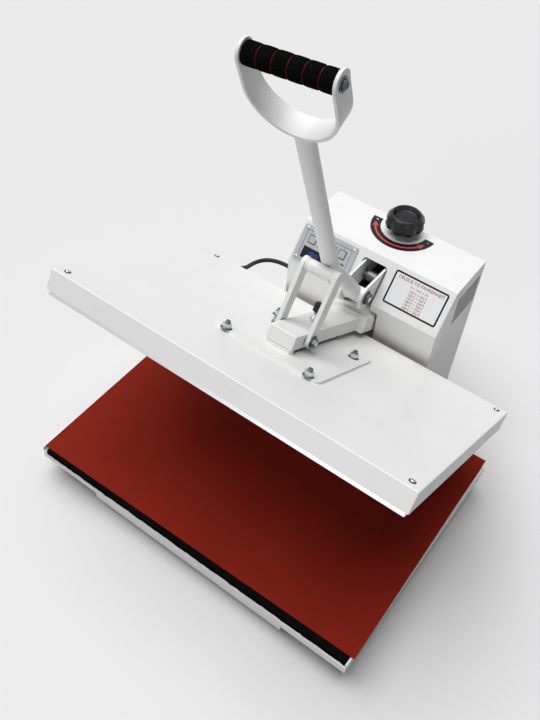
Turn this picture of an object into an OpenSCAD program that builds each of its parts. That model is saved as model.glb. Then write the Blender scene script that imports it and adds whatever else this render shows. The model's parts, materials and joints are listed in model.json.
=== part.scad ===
// Flat clamshell heat press, modelled open.
// +X is the operator's right, +Y points to the control box and +Z is up.
// The origin is on the bench, under the middle of the footprint.
// Platen and arm are drawn closed and then swung open about the hinge.

/* [Table] */
// Width of the lower table
table_w = 600; // [560:1:640]
// Depth of the lower table
table_d = 431.5; // [400:0.5:460]
// Y of the table's front edge
table_front = -306.5; // [-320:0.5:-290]
// Sheet thickness of the table tray
tray_sheet = 2.5; // [1.5:0.1:4]
// Height of the tray's turned-down skirt
tray_skirt = 18; // [12:0.5:24]
// Height of the tray's side lips above its floor
side_lip = 9; // [4:0.5:9.5]
// Thickness of the foam pad
foam_t = 10; // [8:0.5:15]
// Thickness of the silicone mat
mat_t = 1.5; // [1:0.1:3]
// Width of the silicone mat
mat_w = 600; // [560:1:602]
// Depth of the silicone mat
mat_d = 424; // [380:1:426]
// Angle at which the loose pad and mat lie on the tray
pad_yaw = 1; // [0:0.1:1.5]

/* [Base] */
// Width of the base's front member
base_w = 372; // [320:1:420]
// Front to back size of the base's cross members
member_d = 46; // [36:1:60]
// Width of the two base rails
rail_w = 40; // [30:1:50]
// X of the middle of each rail
rail_x = 100; // [90:1:110]
// Height of the base tubes
base_h = 34.5; // [28:0.5:42]
// Wall of the base tubes
base_wall = 3; // [2:0.5:4]
// Height of the rubber feet
foot_h = 18; // [12:0.5:22]
// Diameter of the rubber feet at the bench
foot_d = 30; // [24:1:36]

/* [Platen] */
// Distance from the table's middle back to the platen's middle
platen_back = 1.2; // [0:0.1:3]
// Width of the platen cover
cover_w = 594; // [560:1:620]
// Depth of the platen cover
cover_d = 424; // [390:1:440]
// Height of the platen cover's sides
cover_h = 32; // [28:0.5:40]
// Sheet thickness of the platen cover
cover_sheet = 1.5; // [1:0.1:2]
// Gap between the heating plate's edge and the cover
plate_gap = 2.5; // [1:0.1:5]
// Thickness of the heating plate
plate_t = 18; // [14:0.5:20]
// How far the heating plate stands below the cover
plate_drop = 8; // [4:0.5:12]
// Gap left between the closed heating plate and the mat
press_gap = 0.5; // [0.3:0.1:2]
// Thickness of the insulation blanket
blanket_t = 9; // [6:0.5:9.5]
// Diameter of the tubular heating element
element_d = 8; // [6:0.5:8.5]
// Spacing of the element's runs
element_pitch = 70; // [66:1:74]
// Inset of the cover screws from the cover's edges
cover_screw_inset = 16; // [13:0.5:22]

/* [Arm] */
// Y of the hinge axis
hinge_y = 283.6; // [280:0.1:286]
// Height of the hinge axis
hinge_z = 116.5; // [112:0.1:120]
// Angle through which the platen opens
open_angle = 30.45; // [20:0.05:32]
// Outer width of the arm's front channel
arm_w = 46; // [40:1:46]
// Outer width of the arm's rear channel
arm_rear_w = 70; // [60:1:72]
// Height of the arm's front channel
arm_h = 23.5; // [20:0.5:26]
// Height of the arm's rear channel
arm_rear_h = 29; // [26:0.5:32]
// Wall of both channels
arm_wall = 4; // [3:0.5:5]
// Y of the arm's front end with the platen closed
arm_front = -146; // [-160:1:-130]
// Y where the rear channel starts
arm_step = 83; // [60:1:95]
// Diameter of the hinge pin
hinge_d = 16; // [12:0.5:18]
// Outer diameter of the arm's hinge tube
hinge_tube_d = 28; // [24:0.5:28.5]
// Width of the mounting plate on the platen
mount_w = 182; // [170:1:200]
// Depth of the mounting plate on the platen
mount_d = 194; // [185:1:210]
// Thickness of the mounting plate
mount_t = 4; // [3:0.5:6]
// Corner radius of the mounting plate
mount_r = 10; // [4:0.5:14]
// Y of the mounting plate's middle, from the platen's middle
mount_y = 7; // [0:1:14]
// Spacing of the platen studs across the arm
stud_dx = 143; // [130:0.5:150]
// Spacing of the platen studs along the arm
stud_dy = 155.8; // [140:0.1:160]
// Y of the stud pattern's middle, from the platen's middle
stud_y = -9; // [-14:1:0]
// Diameter of the platen studs
stud_d = 8; // [6:0.5:8.5]
// Y of the handle stop with the platen closed
stop_y = -52; // [-60:1:-44]
// Height of the handle stop above the arm
stop_h = 32.5; // [28:0.5:33]

/* [Linkage] */
// Y of the lever pivot in the ears
ear_y = 134.5; // [132:0.1:137]
// Height of the lever pivot
ear_z = 274.5; // [272:0.1:277]
// Radius of the ears' round tips
ear_r = 21; // [18:0.5:21.5]
// Thickness of each ear
ear_t = 4; // [3:0.1:4.5]
// Clear width between the ears
ear_gap = 34; // [32:0.1:34.5]
// Diameter of the lever's pivot bolt
lever_bolt_d = 12; // [10:0.5:14]
// Y of the links' lower pivot with the platen closed
link_pivot_y = -104.6; // [-108:0.1:-102]
// Height of the links' lower pivot with the platen closed
link_pivot_z = 130.7; // [128.5:0.1:132]
// Thickness of each link
link_t = 7; // [5:0.1:8]
// Width of each link
link_w = 22; // [20:0.5:24]
// Diameter of the links' lower bolt
link_bolt_d = 10; // [8:0.5:12]
// Diameter of the crossbar tube
crossbar_d = 20; // [18:0.5:22]
// Distance from the lever's bend up to the crossbar
crossbar_up = 20.8; // [16:0.1:26]
// Distance from the lever's axis forward to the crossbar
crossbar_out = 21.5; // [20:0.1:22]

/* [Handle] */
// Diameter of the lever tube
lever_d = 25; // [22:0.5:27]
// Wall of the lever tube
lever_wall = 2.5; // [1.5:0.1:4]
// Length of the lever from its pivot to its bend
lever_low_l = 154.5; // [150:0.5:160]
// Slope of the lever below the bend, with the platen open
lever_low_a = 128.4; // [127:0.1:130]
// Slope of the lever above the bend, with the platen open
lever_up_a = 111.5; // [110:0.1:113]
// Rise of the weld at the lever's bend
bend_rise = 0.4; // [0.3:0.1:1]
// Length of the lever from its bend to the strap
lever_up_l = 309.6; // [280:0.2:340]
// Half width of the handle strap
strap_half = 60; // [54:0.5:66]
// Depth of the strap from the grip's axis to its outside
strap_depth = 96; // [86:0.5:110]
// Width of the strap's band
strap_w = 32; // [26:0.5:36]
// Thickness of the strap's band
strap_t = 4.3; // [3:0.1:5]
// Turn of the strap on the lever
strap_twist = 5; // [0:0.5:8]
// Diameter of the foam grip
grip_d = 27; // [25:0.5:31]
// Number of foam rings on the grip
grip_rings = 6; // [4:1:8]
// Gap between neighbouring foam rings
grip_gap = 1.4; // [0.8:0.1:2]
// Diameter of the red sleeve under the rings
sleeve_d = 23.6; // [20:0.1:24]
// Diameter of the bolt through the grip
grip_bolt_d = 8; // [6:0.5:10]

/* [Control box] */
// Width of the control box
box_w = 290; // [280:1:310]
// Y of the box's front face
box_front = 153; // [152:0.5:156]
// Y of the box's back face
box_back = 300; // [300:0.5:304]
// Height of the box's top above the bench
box_top = 311.1; // [310:0.1:316]
// Height of the box's lower edge above the bench
box_foot = 8; // [5:0.5:14]
// Y of the slope's upper edge
slope_y = 200.6; // [196:0.2:204]
// Height of the slope's lower edge
slope_z = 247.2; // [244:0.2:250]
// Sheet thickness of the box
box_sheet = 1.5; // [1:0.1:2]
// Width of the narrow slot for the ears
slot_w = 47; // [46:0.5:52]
// Distance from the slope's upper edge to the slot
slot_down = 14; // [12:0.5:16]
// Width of the opening for the arm
arm_door_w = 76; // [75:0.5:84]
// Height of the top of the opening for the arm
arm_door_top = 233.5; // [232:0.5:238]
// Height of the bottom of the opening for the arm
arm_door_low = 92; // [80:0.5:94]
// Corner radius of both openings
door_r = 6; // [3:0.5:8]

/* [Controller] */
// Width of the controller's face
face_w = 106; // [100:0.5:110]
// Height of the controller's face
face_h = 66; // [60:0.5:70]
// Thickness of the controller's face
face_t = 3; // [2.5:0.1:5]
// X of the middle of the controller
face_x = -88.5; // [-90:0.5:-86]
// Distance from the slope's upper edge to the controller's middle
face_s = 39.6; // [37:0.1:42]
// Size of the square buttons
button_w = 12; // [10:0.5:13]
// Spacing of the buttons
button_pitch = 19.6; // [17:0.1:21]
// Travel of the buttons
button_travel = 1; // [0.5:0.1:1.5]
// Width of the display window
display_w = 80; // [70:0.5:84]
// Height of the display window
display_h = 21; // [18:0.5:22]
// Depth of the controller's housing behind the slope
housing_depth = 42; // [30:1:50]

/* [Pressure screw] */
// Y of the screw's axis
screw_y = 276; // [274:0.5:278]
// Diameter of the pressure screw
screw_d = 16; // [12:0.5:18]
// Diameter of the knob
knob_d = 68; // [60:1:74]
// Height of the knob
knob_h = 30; // [24:0.5:36]
// Number of finger hollows in the knob's rim
knob_lobes = 8; // [6:1:10]
// Gap between the box and the knob's collar
knob_lift = 3.5; // [2.5:0.1:6]
// Height of the bracket's carriage block
block_h = 46; // [40:1:50]
// Front to back size of the carriage block
block_d = 38; // [34:1:40]

/* [Frame] */
// Inside distance between the hinge uprights
upright_gap = 82; // [81:0.5:88]
// Thickness of the uprights
upright_t = 6; // [4:0.5:8]
// Y of the uprights' front edge
upright_front = 248; // [244:1:252]
// Height of the uprights' top above the bench
upright_top = 296; // [295:0.5:299]

/* [Rear panel] */
// X of the power switch
switch_x = 84; // [70:1:100]
// Height of the power switch
switch_z = 96; // [90:1:130]
// Width of the switch's rocker
rocker_w = 12; // [10:0.5:14]
// Height of the switch's rocker
rocker_h = 24; // [20:0.5:28]
// Swing of the rocker to each side
rocker_swing = 8; // [5:0.5:10]
// X of the mains gland
mains_x = -84; // [-100:1:-70]
// Bore of the mains gland
mains_bore = 8.2; // [6:0.1:10]
// Rows of vent slots
vent_rows = 5; // [3:1:6]
// Spacing of the vent rows
vent_pitch = 12; // [10:0.5:14]

/* [Heater lead] */
// Diameter of the heater lead
lead_d = 8; // [6:0.5:9]
// X of the lead's gland on the platen
platen_gland_x = -255; // [-260:1:-250]
// Diameter of the lead glands
gland_d = 17; // [14:0.5:19]
// Length of the lead glands
gland_l = 20; // [20:0.5:24]

/* [Clearances] */
// Radial clearance of a pin in its bore
run = 0.05; // [0.02:0.01:0.09]
// Side clearance between parts that move past each other
side = 0.3; // [0.2:0.05:0.5]
// Radial clearance of a bolt in a plain hole
loose = 0.3; // [0.2:0.05:0.6]

/* [Hidden] */
$fn = 64;
eps = 0.01;

// Paint and metal colours
white_paint = [0.92, 0.92, 0.91];
light_grey = [0.72, 0.73, 0.74];
zinc = [0.70, 0.71, 0.73];
steel = [0.55, 0.56, 0.58];
black_plastic = [0.06, 0.06, 0.07];
foam_black = [0.05, 0.05, 0.05];
mat_red = [0.50, 0.12, 0.09];
sleeve_red = [0.45, 0.03, 0.04];
glass_navy = [0.04, 0.06, 0.14];
blanket_white = [0.86, 0.85, 0.80];
alloy = [0.76, 0.77, 0.78];

// Heights that stack up from the bench
base_top = foot_h + base_h;
tray_floor = base_top + tray_sheet;
tray_low = tray_floor - tray_skirt;
foam_top = tray_floor + foam_t;
mat_top = foam_top + mat_t;
table_y = table_front + table_d / 2;

// The mat lies a little behind the table's middle
mat_back = 5;
foam_inset = 1.5;
platen_y = table_y + platen_back;
frame_gap = 2.5;
frame_rear = box_back - box_sheet - frame_gap;

// Platen heights with the platen closed
plate_low = mat_top + press_gap;
plate_top = plate_low + plate_t;
cover_low = plate_low + plate_drop;
cover_top = cover_low + cover_h;
cover_in = cover_top - cover_sheet;
plate_w = cover_w - 2 * cover_sheet - 2 * plate_gap;
plate_d = cover_d - 2 * cover_sheet - 2 * plate_gap;
mount_top = cover_top + mount_t;
arm_low = hinge_z;
arm_top = arm_low + arm_h;
cover_screw_d = 5;
standoff_d = 12;
sleeve_out_d = 16;
element_runs = 8;
element_reach = 165;
probe_d = 6;
probe_x = -200;
probe_l = 40;
probe_out = 2;
nut_h = 8;

// Pivots as Y and Z pairs
hinge_p = [hinge_y, hinge_z];
ear_p = [ear_y, ear_z];
link_closed_p = [link_pivot_y, link_pivot_z];
function swing(p, a) = hinge_p + [
    (p.x - hinge_y) * cos(a) - (p.y - hinge_z) * sin(a),
    (p.x - hinge_y) * sin(a) + (p.y - hinge_z) * cos(a)
];
function ray(a) = [cos(a), sin(a)];
link_p = swing(link_closed_p, -open_angle);
bend_p = ear_p + lever_low_l * ray(lever_low_a);
crossbar_p = bend_p + crossbar_up * ray(lever_up_a) + crossbar_out * ray(lever_up_a + 90);
link_l = norm(crossbar_p - link_p);
link_a = atan2(crossbar_p.y - link_p.y, crossbar_p.x - link_p.x);
link_in = arm_w / 2 + 1 + side;
boss_d = lever_d + 1;
echo(link_length = link_l, crank_length = norm(crossbar_p - ear_p), link_slope = link_a);

// The box's sloped face
slope_a = atan2(box_top - slope_z, slope_y - box_front);
slope_l = norm([box_top - slope_z, slope_y - box_front]);
slope_in = box_sheet / cos(slope_a);
inner_front = box_front + box_sheet;
inner_slope_z = slope_z - slope_in + box_sheet * tan(slope_a);
inner_slope_y = inner_front + (box_top - box_sheet - inner_slope_z) / tan(slope_a);
slot_top = box_top - slot_down * sin(slope_a);
front_wall_low = base_top + 4;
panel_lug = 14;
panel_lug_t = 3;
panel_screw_d = 4;
panel_screw_zs = [base_top + 20, box_top - 24];
panel_y = box_back - box_sheet;
bracket_sheet = 2;
bracket_l = 24;
bracket_h = 26;

// Controller details on the slope
face_screw_d = 3;
face_screw_inset = 6.5;
button_row = 11;
display_row = -13.5;
button_gap = 0.4;
button_stand = 1.4;
button_foot = 1;
housing_w = face_w - 20;
housing_h = face_h - 12;
window_t = 1;

// Pressure screw stack
screw_plate_t = 6;
block_top = upright_top - 10;
screw_low = block_top - block_h - 15;
collar_ring_h = 5;
knob_low = box_top + knob_lift + 4;
screw_high = knob_low + knob_h - 8;
nut_block_y = 190;

// Heater lead route from the box to the platen, open
lead_route = [
    [-165, 256, 125], [-180, 256, 125], [-195, 256.5, 125], [-210, 257, 124.5],
    [-225, 256, 124.5], [-239, 251.5, 125], [-250, 243, 126.5], [-257, 231, 128.5],
    [-260, 216, 132], [-259, 202, 137], [-256.5, 188, 143.2], [-255, 175, 150.8]
];
lead_sides = 10;
box_gland_y = lead_route[0].y;
box_gland_z = lead_route[0].z;
platen_gland_y = platen_y + cover_d / 2;
platen_gland_z = (cover_low + cover_top) / 2;
lead_end_yz = swing([platen_gland_y + gland_l, platen_gland_z], -open_angle);
lead_end = [platen_gland_x, lead_end_yz.x, lead_end_yz.y];
lead_path = concat(lead_route, [lead_end + 14 * [0, cos(open_angle), -sin(open_angle)], lead_end]);

// Cylinder along X, centred on X
module bar_x(l, d) {
    rotate([0, 90, 0]) cylinder(h = l, d = d, center = true);
}

// Cylinder along X between two X values
module bar_from(x0, x1, d) {
    translate([x0, 0, 0]) rotate([0, 90, 0]) cylinder(h = x1 - x0, d = d);
}

// Hexagon along X between two X values
module hex_from(x0, x1, across) {
    translate([x0, 0, 0]) rotate([0, 90, 0]) cylinder(h = x1 - x0, d = across / cos(30), $fn = 6);
}

// Box centred on X and Y, standing on Z
module slab(w, d, h) {
    translate([-w / 2, -d / 2, 0]) cube([w, d, h]);
}

// Flat outline with round corners, centred
module round_rect(w, h, r) {
    square([w - 2 * r, h], center = true);
    square([w, h - 2 * r], center = true);
    for (sx = [-1, 1], sy = [-1, 1]) translate([sx * (w / 2 - r), sy * (h / 2 - r)]) circle(r);
}

// Moves a shape drawn about the hinge side's Y and Z to a pivot
module at(p) {
    translate([0, p.x, p.y]) children();
}

// Lays +Z along a slope in the Y and Z plane
module along(p, a) {
    at(p) rotate([a - 90, 0, 0]) children();
}

// Swings closed parts to the open rest pose
module opened() {
    at(hinge_p) rotate([-open_angle, 0, 0]) translate([0, -hinge_y, -hinge_z]) children();
}

// Stands a part on the slope, s down from its upper edge
module on_slope(x, s) {
    translate([0, slope_y, box_top]) rotate([slope_a, 0, 0]) translate([x, -s, 0]) children();
}

// Puts copies at the four platen studs
module at_studs() {
    for (sx = [-1, 1], sy = [-1, 1])
        translate([sx * stud_dx / 2, platen_y + stud_y + sy * stud_dy / 2, 0]) children();
}

// Puts copies at the four cover screws
module at_cover_screws() {
    for (sx = [-1, 1], sy = [-1, 1])
        translate([
            sx * (cover_w / 2 - cover_screw_inset),
            platen_y + sy * (cover_d / 2 - cover_screw_inset),
            0
        ]) children();
}

// Rectangular tube along Y from y0 to y1
module tube_y(x, w, y0, y1) {
    translate([x, (y0 + y1) / 2, foot_h]) difference() {
        slab(w, y1 - y0, base_h);
        translate([0, 0, base_wall]) slab(w - 2 * base_wall, y1 - y0 + 2, base_h - 2 * base_wall);
    }
}

// Rectangular tube along X about y
module tube_x(y, w, d) {
    translate([0, y, foot_h]) difference() {
        slab(w, d, base_h);
        translate([0, 0, base_wall]) slab(w + 2, d - 2 * base_wall, base_h - 2 * base_wall);
    }
}

// Base

tray_bolt_d = 8;
tray_bolt_head = 15;
tray_bolt_x = base_w / 2 - 40;
tray_bolt_l = tray_sheet + base_wall + 4;
base_front = table_front + tray_sheet;

// Puts copies at the two front and two rear tray bolts
module at_tray_bolts() {
    for (sx = [-1, 1]) {
        translate([sx * tray_bolt_x, base_front + member_d / 2, 0]) children();
        translate([sx * rail_x, table_front + table_d - member_d, 0]) children();
    }
}

module base_frame() {
    rail_start = base_front + member_d;
    color(white_paint) difference() {
        union() {
            tube_x(base_front + member_d / 2, base_w, member_d);
            for (s = [-1, 1]) tube_y(s * rail_x, rail_w, rail_start, frame_rear);
            tube_x(frame_rear - member_d / 2, 2 * rail_x - rail_w, member_d);
        }
        at_tray_bolts() translate([0, 0, base_top - base_wall - 1])
            cylinder(h = base_wall + 2, d = tray_bolt_d + 2 * loose);
    }
}

module rubber_feet() {
    foot_top_d = foot_d - 8;
    color(black_plastic) {
        for (s = [-1, 1]) {
            translate([s * (base_w / 2 - foot_d / 2 - 6), base_front + member_d - foot_d / 2 - 3, 0])
                cylinder(h = foot_h, d1 = foot_d, d2 = foot_top_d);
            translate([s * rail_x, frame_rear - foot_d, 0])
                cylinder(h = foot_h, d1 = foot_d, d2 = foot_top_d);
        }
    }
}

// Table

module lower_tray() {
    lip_t = tray_sheet;
    color(white_paint) translate([0, table_y, 0]) difference() {
        union() {
            translate([0, 0, tray_low]) slab(table_w, table_d, tray_skirt);
            for (s = [-1, 1]) translate([s * (table_w - lip_t) / 2, 0, tray_floor])
                slab(lip_t, table_d, side_lip);
        }
        translate([0, 0, tray_low - 1])
            slab(table_w - 2 * tray_sheet, table_d - 2 * tray_sheet, tray_skirt - tray_sheet + 1);
        translate([0, -table_y, tray_floor - tray_sheet - 1]) at_tray_bolts()
            cylinder(h = tray_sheet + 2, d = tray_bolt_d + 2 * loose);
        translate([0, -table_y, tray_floor - tray_sheet / 2]) at_tray_bolts()
            cylinder(h = tray_sheet, d = tray_bolt_head + 2 * loose);
        for (s = [-1, 1]) translate([s * rail_x, table_d / 2, tray_low - 1])
            slab(rail_w + 2 * loose, 4 * tray_sheet, tray_skirt - tray_sheet + 1);
    }
}

module tray_bolts() {
    color(zinc) at_tray_bolts() {
        translate([0, 0, tray_floor - tray_sheet / 2]) cylinder(h = tray_sheet / 2, d = tray_bolt_head);
        translate([0, 0, tray_floor - tray_bolt_l]) cylinder(h = tray_bolt_l, d = tray_bolt_d);
    }
}

module foam_pad() {
    foam_d = table_d - 2 * foam_inset;
    foam_w = table_w - 2 * tray_sheet - 2 * side - table_d * sin(pad_yaw);
    color(foam_black) translate([0, table_y, tray_floor]) rotate([0, 0, pad_yaw]) slab(foam_w, foam_d, foam_t);
}

module silicone_mat() {
    color(mat_red) translate([0, table_y + mat_back, foam_top]) rotate([0, 0, pad_yaw])
        slab(mat_w, mat_d, mat_t);
}

// Hinge frame

module hinge_uprights() {
    upright_d = frame_rear - upright_front;
    color(white_paint) difference() {
        for (s = [-1, 1])
            translate([s * (upright_gap + upright_t) / 2, upright_front + upright_d / 2, base_top])
                slab(upright_t, upright_d, upright_top - base_top);
        at(hinge_p) bar_x(upright_gap + 4 * upright_t, hinge_d + 2 * run);
    }
}

module screw_plate() {
    plate_front = screw_y - screw_d;
    color(white_paint) difference() {
        translate([0, (plate_front + frame_rear) / 2, upright_top])
            slab(upright_gap + 2 * upright_t, frame_rear - plate_front, screw_plate_t);
        translate([0, screw_y, upright_top - 1]) cylinder(h = screw_plate_t + 2, d = screw_d + 2 * run);
    }
}

hinge_nut_t = 8;
hinge_pin_l = upright_gap + 2 * upright_t + 2 * hinge_nut_t + 4;

module hinge_pin() {
    color(steel) at(hinge_p) bar_x(hinge_pin_l, hinge_d);
}

module hinge_nuts() {
    nut_across = hinge_d * 1.5;
    nut_x = upright_gap / 2 + upright_t;
    color(zinc) at(hinge_p) for (s = [0, 180]) rotate([0, 0, s]) difference() {
        hex_from(nut_x, nut_x + hinge_nut_t, nut_across);
        bar_x(hinge_pin_l, hinge_d + 2 * run);
    }
}

// Control box

// Side outline of the box in Y and Z
module box_outline() {
    polygon([
        [box_front, box_foot], [box_front, slope_z], [slope_y, box_top],
        [panel_y, box_top], [panel_y, box_foot]
    ]);
}

// Side outline of the hollow inside the box
module box_hollow_outline() {
    polygon([
        [inner_front, box_foot - 1], [inner_front, inner_slope_z], [inner_slope_y, box_top - box_sheet],
        [panel_y + 1, box_top - box_sheet], [panel_y + 1, box_foot - 1]
    ]);
}

// Extrudes a Y and Z outline along X, centred
module extrude_x(w) {
    rotate([90, 0, 90]) linear_extrude(w, center = true) children();
}

// Front openings seen from the front, in X and Z
module door_outline() {
    door_h = arm_door_top - arm_door_low;
    slot_h = slot_top - arm_door_top + 2 * door_r;
    translate([0, arm_door_low + door_h / 2]) round_rect(arm_door_w, door_h, door_r);
    translate([0, slot_top - slot_h / 2]) round_rect(slot_w, slot_h, door_r);
}

module control_box() {
    hollow_w = box_w - 2 * box_sheet;
    cut_y = slope_y + 2;
    color(white_paint) difference() {
        union() {
            difference() {
                extrude_x(box_w) box_outline();
                extrude_x(hollow_w) box_hollow_outline();
            }
            for (s = [-1, 1], z = panel_screw_zs)
                translate([s * (hollow_w - panel_lug) / 2, panel_y - panel_lug_t / 2, z - panel_lug / 2])
                    slab(panel_lug, panel_lug_t, panel_lug);
        }
        translate([0, cut_y, 0]) rotate([90, 0, 0]) linear_extrude(cut_y - box_front + 2) door_outline();
        translate([-hollow_w / 2, box_front - 1, box_foot - 1])
            cube([hollow_w, box_sheet + 2, front_wall_low - box_foot + 1]);
        at_panel_screws() cylinder(h = 4 * panel_lug_t, d = panel_screw_d + 2 * loose, center = true);
        on_slope(face_x, face_s) translate([0, 0, -4])
            slab(housing_w + 2 * loose, housing_h + 2 * loose, 8);
        translate([0, screw_y, box_top - 2 * box_sheet]) cylinder(h = 4 * box_sheet, d = screw_d + 2);
        translate([-box_w / 2, box_gland_y, box_gland_z]) bar_x(4 * box_sheet, gland_thread_d + 2 * loose);
    }
}

// Puts copies at the rear panel's screws, with +Z along +Y
module at_panel_screws() {
    for (s = [-1, 1], z = panel_screw_zs)
        translate([s * (box_w / 2 - box_sheet - panel_lug / 2), panel_y, z]) rotate([-90, 0, 0]) children();
}

module box_brackets() {
    rail_in = rail_x - rail_w / 2 + 6;
    wall_in = box_w / 2 - box_sheet;
    ys = [box_front + 24, frame_rear - 22];
    color(zinc) for (s = [-1, 1], y = ys) {
        translate([s * (rail_in + wall_in) / 2, y, base_top]) slab(wall_in - rail_in, bracket_l, bracket_sheet);
        translate([s * (wall_in - bracket_sheet / 2), y, base_top]) slab(bracket_sheet, bracket_l, bracket_h);
    }
}

gland_thread_d = gland_d - 5;
switch_body_w = rocker_w + 6;
switch_body_h = rocker_h + 6;
switch_body_d = 18;
flange_t = 2;
mains_thread_d = mains_bore + 6;
mains_hex = mains_bore + 12;
mains_l = 5;

module back_panel() {
    panel_w = box_w - 0.2;
    slot_l = 60;
    slot_h = 4;
    vent_drop = 90;
    vent_z = box_top - vent_drop;
    color(white_paint) difference() {
        translate([0, panel_y + box_sheet / 2, box_foot]) slab(panel_w, box_sheet, box_top - box_foot);
        at_panel_screws() cylinder(h = 4 * box_sheet, d = panel_screw_d + 2 * loose, center = true);
        translate([switch_x, panel_y, switch_z - switch_body_h / 2])
            slab(switch_body_w + 2 * loose, 4 * box_sheet, switch_body_h + loose);
        translate([mains_x, panel_y, switch_z]) rotate([90, 0, 0])
            cylinder(h = 4 * box_sheet, d = mains_thread_d + 2 * loose, center = true);
        for (i = [0 : vent_rows - 1], s = [-1, 1])
            translate([s * slot_l * 0.75, panel_y + box_sheet / 2, vent_z + i * vent_pitch])
                rotate([90, 0, 0]) linear_extrude(4 * box_sheet, center = true)
                    round_rect(slot_l, slot_h, slot_h / 2 - eps);
    }
}

module box_screws() {
    head_d = 2 * panel_screw_d;
    head_h = 2.4;
    color(zinc) {
        at_panel_screws() {
            translate([0, 0, box_sheet]) cylinder(h = head_h, d = head_d);
            translate([0, 0, -6]) cylinder(h = 6 + box_sheet + eps, d = panel_screw_d);
        }
        at_face_screws() {
            translate([0, 0, face_t]) cylinder(h = 1.2, d = 2 * face_screw_d);
            translate([0, 0, eps]) cylinder(h = face_t, d = face_screw_d);
        }
    }
}

// Controller

// Puts copies at the controller face's corner screws
module at_face_screws() {
    for (sx = [-1, 1], sy = [-1, 1])
        on_slope(face_x + sx * (face_w / 2 - face_screw_inset), face_s + sy * (face_h / 2 - face_screw_inset))
            children();
}

// X of a button from the controller's middle
function button_x(i) = (i - 1.5) * button_pitch;

module controller_face() {
    color(light_grey) difference() {
        on_slope(face_x, face_s) difference() {
            linear_extrude(face_t) round_rect(face_w, face_h, 5);
            for (i = [0 : 3]) translate([button_x(i), button_row, -1])
                slab(button_w + 2 * button_gap, button_w + 2 * button_gap, face_t + 2);
            translate([0, display_row, -1]) slab(display_w - 2, display_h - 2, face_t + 2);
            translate([0, display_row, face_t - window_t]) slab(display_w, display_h, face_t);
        }
        at_face_screws() translate([0, 0, -1]) cylinder(h = face_t + 2, d = face_screw_d + 2 * loose);
    }
}

module controller_housing() {
    color(black_plastic) on_slope(face_x, face_s) difference() {
        translate([0, 0, -housing_depth]) slab(housing_w, housing_h, housing_depth);
        for (i = [0 : 3]) translate([button_x(i), button_row, -button_travel - button_foot - side])
            slab(button_w + 2 * button_gap, button_w + 2 * button_gap, housing_depth);
    }
}

module display_window() {
    color(glass_navy) on_slope(face_x, face_s) translate([0, display_row, face_t - window_t])
        slab(display_w - 2 * loose, display_h - 2 * loose, window_t);
}

module push_button(i) {
    color(light_grey) on_slope(face_x + button_x(i), face_s - button_row)
        translate([0, 0, -button_foot]) slab(button_w, button_w, button_foot + face_t + button_stand);
}

module button_1() { push_button(0); }
module button_2() { push_button(1); }
module button_3() { push_button(2); }
module button_4() { push_button(3); }

// Parts on the rear panel

module solid_state_relay() {
    relay_l = 58;
    relay_w = 45;
    relay_d = 28;
    relay_up = 65;
    post_h = 4;
    color(black_plastic) translate([switch_x, panel_y - relay_d / 2, switch_z + relay_up]) {
        slab(relay_w, relay_d, relay_l);
        for (sz = [0.25, 0.75], sx = [-1, 1])
            translate([sx * relay_w / 4, -relay_d / 2, relay_l * sz]) rotate([90, 0, 0])
                cylinder(h = post_h, d = 2 * post_h);
    }
}

module terminal_block() {
    ways = 4;
    way_w = 14;
    block_t = 22;
    block_tall = 20;
    block_up = 60;
    color(light_grey) translate([mains_x - way_w * ways / 2, panel_y - block_t, switch_z + block_up]) difference() {
        cube([way_w * ways, block_t, block_tall]);
        for (i = [0 : ways - 1]) translate([way_w * (i + 0.5), -1, block_tall / 2]) rotate([-90, 0, 0])
            cylinder(h = 9, d = way_w / 2);
    }
}

module switch_body() {
    color(black_plastic) difference() {
        union() {
            translate([switch_x, panel_y + box_sheet - switch_body_d / 2, switch_z - switch_body_h / 2])
                slab(switch_body_w, switch_body_d, switch_body_h);
            translate([switch_x, panel_y + box_sheet + flange_t / 2, switch_z - switch_body_h / 2 - 2])
                slab(switch_body_w + 4, flange_t, switch_body_h + 4);
        }
        translate([switch_x, panel_y + box_sheet + flange_t, switch_z - rocker_h / 2 - 1])
            slab(rocker_w + 2 * side, 24, rocker_h + 2);
        translate([switch_x, rocker_y, switch_z]) bar_x(rocker_pin_l + 2 * side, rocker_pin_d + 2 * run);
    }
}

// The rocker turns on two round pins, about an X axis just behind its face
rocker_y = panel_y + box_sheet - 1;
rocker_r = rocker_h / 2 - 1;
rocker_pin_d = 3;
rocker_pin_l = rocker_w + 2 * side + 3;

module switch_rocker() {
    rocker_face = 3;
    rocker_back = 2;
    rocker_dip = rocker_r * tan(rocker_swing);
    color(black_plastic) translate([switch_x, rocker_y, switch_z]) {
        extrude_x(rocker_w) polygon([
            [-rocker_back, -rocker_r], [rocker_face, -rocker_r], [rocker_face - rocker_dip, 0],
            [rocker_face, rocker_r], [-rocker_back, rocker_r]
        ]);
        bar_x(rocker_pin_l, rocker_pin_d);
    }
}

module mains_gland() {
    color(black_plastic) translate([mains_x, panel_y, switch_z]) rotate([-90, 0, 0]) difference() {
        union() {
            translate([0, 0, -12]) cylinder(h = 12 + box_sheet, d = mains_thread_d);
            translate([0, 0, box_sheet]) cylinder(h = mains_l, d = mains_hex / cos(30), $fn = 6);
        }
        translate([0, 0, -13]) cylinder(h = 14 + box_sheet + mains_l, d = mains_bore);
    }
}

// Gland with its base at zero, a round cap and a tapered nose along Z
module lead_gland(thread_l) {
    cap_l = gland_l * 0.45;
    difference() {
        union() {
            cylinder(h = cap_l, d = gland_d);
            translate([0, 0, cap_l]) cylinder(h = gland_l - cap_l, d1 = gland_d - 3, d2 = lead_d + 3);
            translate([0, 0, -thread_l]) cylinder(h = thread_l, d = gland_thread_d);
        }
        translate([0, 0, -thread_l - 1]) cylinder(h = thread_l + 2, d = lead_d - 2);
    }
}

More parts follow.
